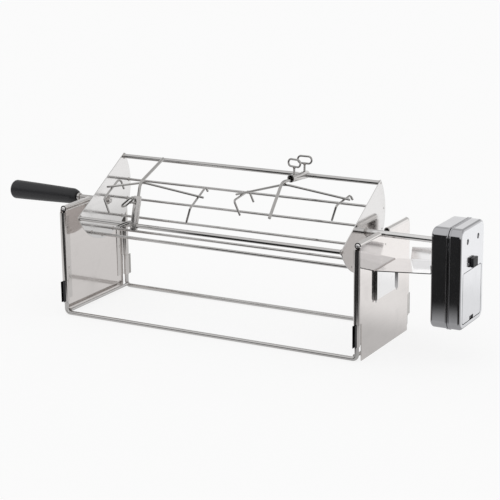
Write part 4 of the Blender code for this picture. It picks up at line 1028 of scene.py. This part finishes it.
class Fork:
    """Sleeve clamped on a basket rod, a bent bar in it, a V spreader and two claws.

    Points are given as (u, w): u along the sleeve from the rod, w square to it on the side of
    the thumb screws. The bar, spreader and claws are rolled together about the bar's line.
    """

    def __init__(self, tag, x, rod_across, sleeve_angle, flip, extension, roll):
        a = radians(sleeve_angle)
        self.name = "fork_" + tag
        self.along = Vector((0, cos(a), sin(a)))
        self.up = Vector((0, -sin(a), cos(a))) * flip
        self.origin = Vector((x, *basket(rod_across, ROD_RISE)))
        self.bend_u = SLEEVE_FRONT + extension
        pivot = self.at(0, -BAR_DROP)
        self.roll = (Matrix.Translation(pivot) @ Matrix.Rotation(radians(roll), 4, self.along)
                     @ Matrix.Translation(-pivot))

    def at(self, u, w):
        return self.origin + self.along * u + self.up * w

    def on_bend(self, a):
        """Point on the bar's bend, at an angle from its start."""
        return self.at(self.bend_u + BAR_BEND_R * sin(a),
                       -BAR_DROP - BAR_BEND_R + BAR_BEND_R * cos(a))

    def place_wire(self, part, path, radius, seg, dome):
        path = [self.roll @ p for p in path]
        place(sweep(f"{self.name}_{part}.wire", path, radius, seg, dome=dome), "wire_o")

    def place_weld(self, part, point, radius, direction, stretch):
        centre = self.roll @ point
        place_bead(f"{self.name}_{part}.weld", centre, radius,
                   self.roll @ (point + direction) - centre, stretch)

    def sleeve(self):
        """Tube cross-drilled for the rod, with two screw holes."""
        tube = turned(self.name + "_sleeve.tube",
                      tube_profile(SLEEVE_R, SLEEVE_BORE, SLEEVE_BACK, SLEEVE_FRONT, 0.45),
                      self.at(0, 0), self.along, 64)
        across = X * 9
        cutters = [cylinder(ROD_R + 0.15, self.origin - across, self.origin + across, 48)]
        for u in (0, SLEEVE_FRONT - 9.5):
            cutters.append(cylinder(SCREW_R + 0.12, self.at(u, 1.5), self.at(u, 9), 32))
        place(bevelled(cut(tube, *cutters), 0.12, 2, 50), "sleeve")

    def screw(self, kind, u, tip, turn, height):
        """Thumb screw: threaded shank with a wire ring welded on top, centred at the height."""
        node = f"{self.name}_{kind}_screw"
        a = radians(turn)
        ex = X * cos(a) + self.along * sin(a)
        matrix = axes(self.at(u, tip), ex, self.up.cross(ex), self.up)
        half_line = RING_HALF_W - RING_HALF_H
        foot = height - RING_HALF_H
        place_thread(node + ".shank", SCREW_R, 0.17, 0.7, foot - 0.2, 36, matrix, "wire_o")
        path = [(x, 0, z) for side, start in ((1, -pi / 2), (-1, pi / 2))
                for x, z in arc(side * half_line, height, RING_HALF_H, start, start + pi, 20)]
        ring = sweep(node + ".ring", path, RING_WIRE, 24, cyclic=True)
        ring.data.transform(matrix)
        place(ring, "wire_o")
        # (offset from the screw's radius, offset from the ring's foot)
        swell = [(0.05, -2.6), (0.25, -2.0), (0.55, -1.2), (0.65, -0.6), (0.3, 0.3)]
        profile = [(0, foot - 2.6)] + [(SCREW_R + r, foot + z) for r, z in swell]
        neck = turned(node + ".neck", profile + [(0, foot + 0.5)], (0, 0, 0), Z, 32)
        neck.data.transform(matrix)
        place(shade(neck, 60), "weld")

    def bar(self):
        path = [self.at(u, -BAR_DROP) for u in (15.0, SLEEVE_FRONT, self.bend_u)]
        path += [self.on_bend(BAR_BEND * i / 18) for i in range(1, 19)]
        leg = self.along * cos(BAR_BEND) - self.up * sin(BAR_BEND)
        last = path[-1]
        path += [last + leg * BAR_LEG * f for f in (0.33, 0.66, 1.0)]
        self.place_wire("bar", path, BAR_R, 32, dome=0.45)

    def spreader_and_claws(self, weld_angle, v_angle, claw_angle):
        """The V is welded under the bend, and a claw under each of its arms."""
        a = radians(weld_angle)
        on_bar = self.on_bend(a)
        inward = (-(self.along * sin(a)) - self.up * cos(a)).normalized()
        middle = on_bar + inward * (BAR_R + SPREAD_R)
        a = radians(v_angle)
        drop = -(self.along * sin(a) + self.up * cos(a))
        ends = {s: middle + X * s * SPREAD_HALF + drop * SPREAD_DROP for s in (-1, 1)}
        path = fillet([ends[-1], middle + inward * 0.2, ends[1]], 24.0, 14)
        self.place_wire("spreader", path, SPREAD_R, 28, dome=0.35)
        self.place_weld("spreader", on_bar + inward * (BAR_R + 0.1), 1.5, X, 1.35)

        a = radians(claw_angle)
        claw_dir = Vector((0, cos(a), sin(a)))
        for s, tag in LEFT_RIGHT.items():
            arm = (ends[s] - middle).normalized()
            off = claw_dir.cross(arm).normalized()
            if off.z > 0:
                off = -off
            on_arm = middle + X * s * CLAW_AT + drop * SPREAD_DROP * (CLAW_AT / SPREAD_HALF)
            centre = on_arm + off * (SPREAD_R + CLAW_R)
            prong = Vector((-s * 0.36, 0, -0.93)).normalized()
            # the left claw has two prongs, the right claw a prong and a short stub
            if s < 0:
                second = prong * CLAW_PRONG_REAR
            else:
                second = Vector((0.45, 0, -0.89)).normalized() * CLAW_STUB
            start, end = centre - claw_dir * CLAW_HALF, centre + claw_dir * CLAW_HALF
            path = fillet([start + prong * CLAW_PRONG, start, end, end + second], 4.0, 10)
            self.place_wire("claw_" + tag, path, CLAW_R, 26, dome=0.6)
            self.place_weld("claw_" + tag, on_arm + off * SPREAD_R, 1.25, arm, 1.2)


def build_fork(fork, rod_screw, bar_screw, **v_and_claws):
    fork.sleeve()
    fork.screw("rod", 0.0, ROD_R + GAP, **rod_screw)
    fork.screw("bar", SLEEVE_FRONT - 9.5, BAR_R - BAR_DROP + GAP, **bar_screw)
    fork.bar()
    fork.spreader_and_claws(**v_and_claws)


# angles in degrees
build_fork(Fork("right", x=85.0, rod_across=ROD_ACROSS, sleeve_angle=176.0, flip=-1,
                extension=15.5, roll=3.4),
           rod_screw=dict(turn=0.0, height=16.5), bar_screw=dict(turn=14.0, height=18.0),
           weld_angle=2.0, v_angle=44.7, claw_angle=6.4)
build_fork(Fork("left", x=-107.5, rod_across=-ROD_ACROSS, sleeve_angle=73.0, flip=1,
                extension=10.5, roll=-7.5),
           rod_screw=dict(turn=25.0, height=21.0), bar_screw=dict(turn=43.0, height=21.0),
           weld_angle=40.0, v_angle=22.0, claw_angle=32.0)


# ================================================================== motor case
def shell(name, open_x, closed_x):
    """Case half: rounded tray, open at the seam."""
    x0, x1 = sorted((open_x, closed_x))
    bm = cube_bm((x0, x1), (-CASE_HALF_W, CASE_HALF_W), (CASE_Z0, CASE_Z1))
    along = [e for e in bm.edges if abs((e.verts[0].co - e.verts[1].co).x) > 1e-4]
    bmesh.ops.bevel(bm, geom=along, offset=CASE_CORNER * MM, segments=12, affect='EDGES',
                    profile=0.5)
    mouth = [f for f in bm.faces if all(abs(v.co.x - open_x * MM) < 1e-6 for v in f.verts)]
    bmesh.ops.delete(bm, geom=mouth, context='FACES_ONLY')
    rim = [e for e in bm.edges
           if all(abs(v.co.x - closed_x * MM) < 1e-6 for v in e.verts) and len(e.link_faces) == 2]
    bmesh.ops.bevel(bm, geom=rim, offset=CASE_EDGE * MM, segments=8, affect='EDGES', profile=0.5)
    bmesh.ops.recalc_face_normals(bm, faces=bm.faces)
    # an open tray can come out inside out: the closed face has to look outwards
    flat = max(bm.faces, key=lambda f: f.calc_area() if abs(f.normal.x) > 0.9 else 0)
    if flat.normal.x * (closed_x - open_x) < 0:
        bmesh.ops.reverse_faces(bm, faces=bm.faces)
    mesh = bpy.data.meshes.new(name)
    bm.to_mesh(mesh)
    bm.free()
    ob = new_object(name, mesh)
    solidify = ob.modifiers.new("wall", 'SOLIDIFY')
    solidify.thickness = CASE_WALL * MM
    solidify.offset = -1.0
    solidify.use_even_offset = True
    return bake(ob)


def rear_shell():
    """Half nearer the side plate, with a bore for the socket and a rib inside."""
    body = shell("motor_rear_shell.body", CASE_SEAM - 0.3, CASE_X0)
    body = cut(body, cylinder(9.8, (CASE_X0 - 3, 0, AXIS_Z), (CASE_X0 + 4, 0, AXIS_Z), 64))
    place(shade(body, 28), "case_chrome")
    rib = box("motor_rear_shell.rib", (CASE_X0 + 1.0, CASE_SEAM - 1.0),
              (-CASE_HALF_W + 1.0, CASE_HALF_W - 1.0), (113.4, 115.0))
    place(bevelled(rib, 0.2, 2), "switch")


def front_shell():
    """Half that faces +X, with openings for the screws, battery door and switch."""
    name = "motor_front_shell"
    body = shell(name + ".body", CASE_SEAM + 0.3, CASE_X1)
    for s in LEFT_RIGHT:
        y = s * CASE_SCREW_Y
        body = cut(body, cylinder(3.5, (332.2, y, CASE_SCREW_Z), (CASE_X1 + 2, y, CASE_SCREW_Z), 48))
    door_hole = round_rect(DOOR_HALF + 0.4, DOOR_Z0 - 0.4, DOOR_Z1 + 0.3, 4.2)
    body = cut(body, prism("cutter", door_hole, [], 6.0, yz_at(CASE_X1 - 3)),
               box("cutter", (CASE_X1 - 4, CASE_X1 + 3), (-7.5, 7.5),
                   (SWITCH_Z - 3.2, SWITCH_Z + 3.2)))
    body = place(shade(body, 28), "case_chrome")
    # the flat outer face is satin silver
    body.data.materials.append(FINISHES["case_face"])
    for face in body.data.polygons:
        if face.normal.x > 0.97 and face.center.x > (CASE_X1 - ORIGIN_X - 0.4) * MM:
            face.material_index = 1
    recess = [(3.38, -1.9), (3.5, -1.9), (3.5, -0.25), (3.72, 0.02), (3.45, 0.0), (3.3, -0.3)]
    for s, tag in LEFT_RIGHT.items():
        y = s * CASE_SCREW_Y
        place_turned(f"{name}.boss_{tag}", tube_profile(4.4, 1.8, 0, 13.4, 0.2),
                     (320.0, y, CASE_SCREW_Z), X, "switch", 48)
        place_turned(f"{name}.recess_{tag}", recess, (CASE_X1, y, CASE_SCREW_Z), X,
                     "case_chrome", 48)


def seam_lips():
    """A bead round the open edge of each half."""
    outline = round_rect(CASE_HALF_W - 0.2, CASE_Z0 + 0.2, CASE_Z1 - 0.2, CASE_CORNER - 0.2, 14)
    for half, x in (("rear", CASE_SEAM - 1.5), ("front", CASE_SEAM + 1.5)):
        path = [(x, y, z) for y, z in outline]
        place(sweep(f"motor_{half}_shell.lip", path, 1.15, 16, cyclic=True), "case_chrome")


def battery_door():
    back = CASE_X1 - CASE_WALL                   # inner face of the door
    # the ledge behind the gap round the door is near black: painted shade in the gap
    ledge = prism("motor_front_shell.ledge",
                  round_rect(DOOR_HALF + 1.6, DOOR_Z0 - 1.6, DOOR_Z1 + 1.2, 4.6),
                  [round_rect(DOOR_HALF - 2.4, DOOR_Z0 + 7.0, DOOR_Z1 - 2.4, 2.0)],
                  0.7, yz_at(back - 1.0))
    place(ledge, "dark_hole")
    panel = prism("battery_door.panel",
                  round_rect(DOOR_HALF - 0.45, DOOR_Z0 + 0.45, DOOR_Z1 - 0.4, 3.6, 12),
                  [], CASE_WALL, yz_at(back))
    panel = cut(panel, box("cutter", (CASE_X1 - 5, CASE_X1 + 2), (-6.2, 6.2),
                           (DOOR_Z0 - 2, DOOR_Z0 + 5.0)))
    place(bevelled(panel, 0.25, 3, 40), "case_face")
    tab = box("battery_door.tab", (back - 1.2, back + 0.3), (-7.0, 7.0),
              (DOOR_Z0 + 0.5, DOOR_Z0 + 6.0))
    place(bevelled(tab, 0.2, 2), "switch")
    for s, tag in LEFT_RIGHT.items():
        y = s * 18.0
        tongue = box("battery_door.tongue_" + tag, (back - 1.0, back + 0.3), (y - 3.0, y + 3.0),
                     (DOOR_Z1 - 4.0, DOOR_Z1 - 0.4))
        place(bevelled(tongue, 0.2, 2), "switch")


def switch():
    """Grooved slider with its stem and body, and raised on and off marks beside it."""
    knob = box("switch_knob.slider", (CASE_X1 + 0.15, CASE_X1 + 4.4), (-7.5, 7.5),
               (SWITCH_Z - 5.2, SWITCH_Z + 6.6))
    knob = bevelled(knob, 0.9, 4)
    for k in range(-2, 3):
        x, y = CASE_X1 + 4.5, k * 2.5
        knob = cut(knob, cylinder(0.62, (x, y, SWITCH_Z - 7), (x, y, SWITCH_Z + 8), 20))
    place(shade(knob, 30), "switch")
    # name, x limits from the case face, y limits, half height, bevel, its segments, finish
    for name, (x0, x1), y_span, half_h, bevel, seg, finish in (
            ("switch_knob.stem", (-2.6, 0.5), (-4.6, 4.6), 2.6, 0.2, 2, "switch"),
            ("switch_body.block", (-9.5, -2.9), (-11, 11), 5.0, 0.5, 3, "switch"),
            ("motor_front_shell.mark_on", (-0.1, 0.16), (11.6, 12.3), 1.6, 0.1, 2, "case_chrome")):
        ob = box(name, (CASE_X1 + x0, CASE_X1 + x1), y_span, (SWITCH_Z - half_h, SWITCH_Z + half_h))
        place(bevelled(ob, bevel, seg), finish)
    ring = [(1.0, -0.1), (1.7, -0.1), (1.7, 0.12), (1.55, 0.18), (1.15, 0.18), (1.0, 0.12)]
    place_turned("motor_front_shell.mark_off", ring, (CASE_X1, -12.0, SWITCH_Z), X,
                 "case_chrome", 36)


def case_screw(node, y):
    """Pan head with a cross recess, on a threaded shank."""
    z = CASE_SCREW_Z
    profile = [(0, 332.5), (2.85, 332.5), (3.0, 332.75), (2.95, 333.2), (2.6, 333.75),
               (1.9, 334.15), (1.0, 334.35), (0, 334.4)]
    head = turned(node + ".head", profile, (0, y, z), X, 48)
    long, short = 1.9, 0.36
    head = cut(head, *[box("cutter", (333.3, 336), (y - half_y, y + half_y), (z - half_z, z + half_z))
                       for half_y, half_z in ((long, short), (short, long))])
    place(shade(head, 30), "screw")
    place_thread(node + ".shank", 1.5, 0.25, 1.1, 17.0, 28, axes((315.4, y, z), Y, Z, X), "screw")


def drive_socket():
    """Stepped socket with a square bore, and the bush round it."""
    profile = [(0, -1.0), (6.6, -1.0), (7.0, -0.6), (7.0, 8.7), (6.7, 9.0), (5.4, 9.0),
               (5.4, 14.3), (5.1, 14.6), (0, 14.6)]
    start = (CASE_X0, 0, AXIS_Z)
    socket = turned("drive_socket.body", profile, start, X, 64)
    half = SHAFT_SQUARE + 0.25
    socket = cut(socket, box("cutter", (CASE_X0 - 4, 309.0), (-half, half),
                             (AXIS_Z - half, AXIS_Z + half)))
    place(shade(socket, 30), "plain")
    place_turned("socket_bush.ring", tube_profile(9.5, 7.3, -0.6, 2.8, 0.4), start, X, "brass", 64)


rear_shell()
front_shell()
seam_lips()
battery_door()
switch()
for s, tag in LEFT_RIGHT.items():
    case_screw("case_screw_" + tag, s * CASE_SCREW_Y)
drive_socket()

# pieces inside the motor case keep their meshes and only get a finish
INSIDE = {"gearbox_plate": "plain", "motor_can": "plain", "motor_pinion": "brass",
          "output_gear": "acetal", "reduction_gear_1": "acetal", "reduction_gear_2": "acetal",
          "reduction_gear_3": "acetal", "contact_left": "contact", "contact_right": "contact",
          "contact_bridge": "contact", "battery_cell_left": "jacket",
          "battery_cell_right": "jacket"}
for node, finish in INSIDE.items():
    ob = frame["nodes"][node]
    ob.data.materials.clear()
    ob.data.materials.append(FINISHES[finish])
    shade(ob, 28)


# ================================================================== floor
def floor_material():
    """Near white to the camera; reflections see a graded floor with a dark card in front."""
    material = bpy.data.materials.new("studio_floor")
    material.use_nodes = True
    n = Nodes(material.node_tree)
    n.tree.nodes.clear()
    position = n.node("ShaderNodeSeparateXYZ")
    n.feed(position.inputs[0], n.node("ShaderNodeNewGeometry").outputs["Position"])
    x, y = position.outputs["X"], position.outputs["Y"]
    ray = n.node("ShaderNodeLightPath").outputs

    # bright behind the motor end, an even grey behind the grip end
    motor_end = n.total(n.ramp(y, between=(0.03, 0.17), to=(0.60, 0.93)),
                        n.ramp(y, between=(0.24, 0.36), to=(0.0, 0.18)))
    grip_end = n.ramp(y, between=(0.10, 0.60), to=(0.74, 0.84))
    level = n.blend(n.ramp(x, between=(-0.17, -0.02)), motor_end, grip_end)

    # dark card: its rear edge is set back in a band beside the motor, its sides fan out
    band = n.product(n.ramp(x, between=(-0.06, 0.02)),
                     n.ramp(x, between=(0.10, 0.16), to=(1.0, 0.0)))
    rear_edge = n.blend(band, n.ramp(y, between=(-0.285, -0.175), to=(1.0, 0.0)),
                        n.ramp(y, between=(-0.115, -0.080), to=(1.0, 0.0)))
    fan = n.product(y, 0.56)
    card = n.product(rear_edge,
                     n.ramp(n.math('SUBTRACT', x, fan), between=(-0.36, -0.22)),
                     n.ramp(n.total(x, fan), between=(0.52, 0.66), to=(1.0, 0.0)))
    card_strength = 0.955
    level = n.product(level, n.math('SUBTRACT', 1.0, n.product(card, card_strength)))

    diffuse = n.node("ShaderNodeBsdfDiffuse")
    n.feed(diffuse.inputs["Color"], (0.96, 0.96, 0.96))
    seen = n.mix_shader(0.22, n.emission(strength=1.035), diffuse.outputs[0])
    bounced = n.mix_shader(ray["Is Glossy Ray"], n.emission(strength=0.80),
                           n.emission(strength=level))
    output = n.node("ShaderNodeOutputMaterial")
    n.feed(output.inputs["Surface"], n.mix_shader(ray["Is Camera Ray"], bounced, seen))
    return material


floor_bm = bmesh.new()
bmesh.ops.create_grid(floor_bm, x_segments=1, y_segments=1, size=8.0)
floor = from_bm("floor", floor_bm)
floor.location = (-ORIGIN_X * MM, 0, -0.0002)
floor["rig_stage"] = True
floor.data.materials.append(floor_material())


# ================================================================== light
def studio_world():
    """A white room with a dark card in front; only reflections see the grading."""
    world = bpy.data.worlds.new("studio")
    bpy.context.scene.world = world
    world.use_nodes = True
    n = Nodes(world.node_tree)
    n.tree.nodes.clear()
    direction = n.node("ShaderNodeSeparateXYZ")
    n.feed(direction.inputs[0], n.node("ShaderNodeTexCoord").outputs["Generated"])
    x, y, z = (direction.outputs[axis] for axis in 'XYZ')

    # behind: bright low down, a faint grey break above it, white overhead
    sky = n.total(n.ramp(z, between=(0.28, 0.36), to=(1.40, 0.80)),
                  n.ramp(z, between=(0.44, 0.62), to=(0.0, 0.36)))
    front_level = 1.12
    room = n.blend(n.ramp(y, between=(0.0, 0.35)), sky, front_level)
    front_card = n.product(n.ramp(y, between=(-0.45, -0.15), to=(1.0, 0.0)),
                           n.ramp(z, between=(0.20, 0.38), to=(1.0, 0.0)),
                           n.ramp(x, between=(0.15, 0.45), to=(1.0, 0.0)))
    # a faint flag high up behind draws the upper edge of every rod
    flag = n.product(n.ramp(z, between=(0.545, 0.60)),
                     n.ramp(z, between=(0.82, 0.90), to=(1.0, 0.0)),
                     n.ramp(y, between=(0.0, 0.2)))
    reflected = n.product(room, n.ramp(front_card, between=(0.0, 1.0), to=(1.0, 0.03)),
                          n.ramp(flag, between=(0.0, 1.0), to=(1.0, 0.70)))

    ray = n.node("ShaderNodeLightPath").outputs
    diffuse_level, camera_level = 0.92, 1.0
    strength = n.mix(ray["Is Glossy Ray"], diffuse_level, reflected, data_type='FLOAT')
    strength = n.mix(ray["Is Camera Ray"], strength, camera_level, data_type='FLOAT')
    background = n.node("ShaderNodeBackground")
    n.feed(background.inputs["Strength"], strength)
    n.feed(n.node("ShaderNodeOutputWorld").inputs["Surface"], background.outputs[0])


studio_world()
bpy.context.scene.view_settings.view_transform = 'Standard'


# ================================================================== camera
def add_camera(azimuth, elevation, roll, position, lens):
    """Camera in front and to the right, looking back and down; angles in radians, mm."""
    back = Vector((sin(azimuth) * cos(elevation), -cos(azimuth) * cos(elevation), sin(elevation)))
    right = Vector((cos(azimuth), sin(azimuth), 0))
    up = Vector((-sin(elevation) * sin(azimuth), sin(elevation) * cos(azimuth), cos(elevation)))
    data = bpy.data.cameras.new("camera")
    data.lens = lens
    data.sensor_width = 36.0
    data.clip_end = 60.0
    camera = bpy.data.objects.new("camera", data)
    bpy.context.scene.collection.objects.link(camera)
    camera.matrix_world = axes(position, right * cos(roll) + up * sin(roll),
                               up * cos(roll) - right * sin(roll), back)
    bpy.context.scene.camera = camera


add_camera(azimuth=radians(29.205), elevation=radians(15.108), roll=radians(-0.723),
           position=(1028.3 - ORIGIN_X, -1791.3, 655.0), lens=117.58)


# ================================================================== sizes
def visual_box():
    lo, hi = Vector((9, 9, 9)), Vector((-9, -9, -9))
    for o in bpy.context.scene.objects:
        if o.type == 'MESH' and not o.hide_render and not o.get("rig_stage"):
            for v in o.data.vertices:
                p = o.matrix_world @ v.co
                for k in range(3):
                    lo[k], hi[k] = min(lo[k], p[k]), max(hi[k], p[k])
    return [list(lo), list(hi)]


bpy.context.view_layer.update()
{"cad_box": CAD_BOX, "visual_box": visual_box()}
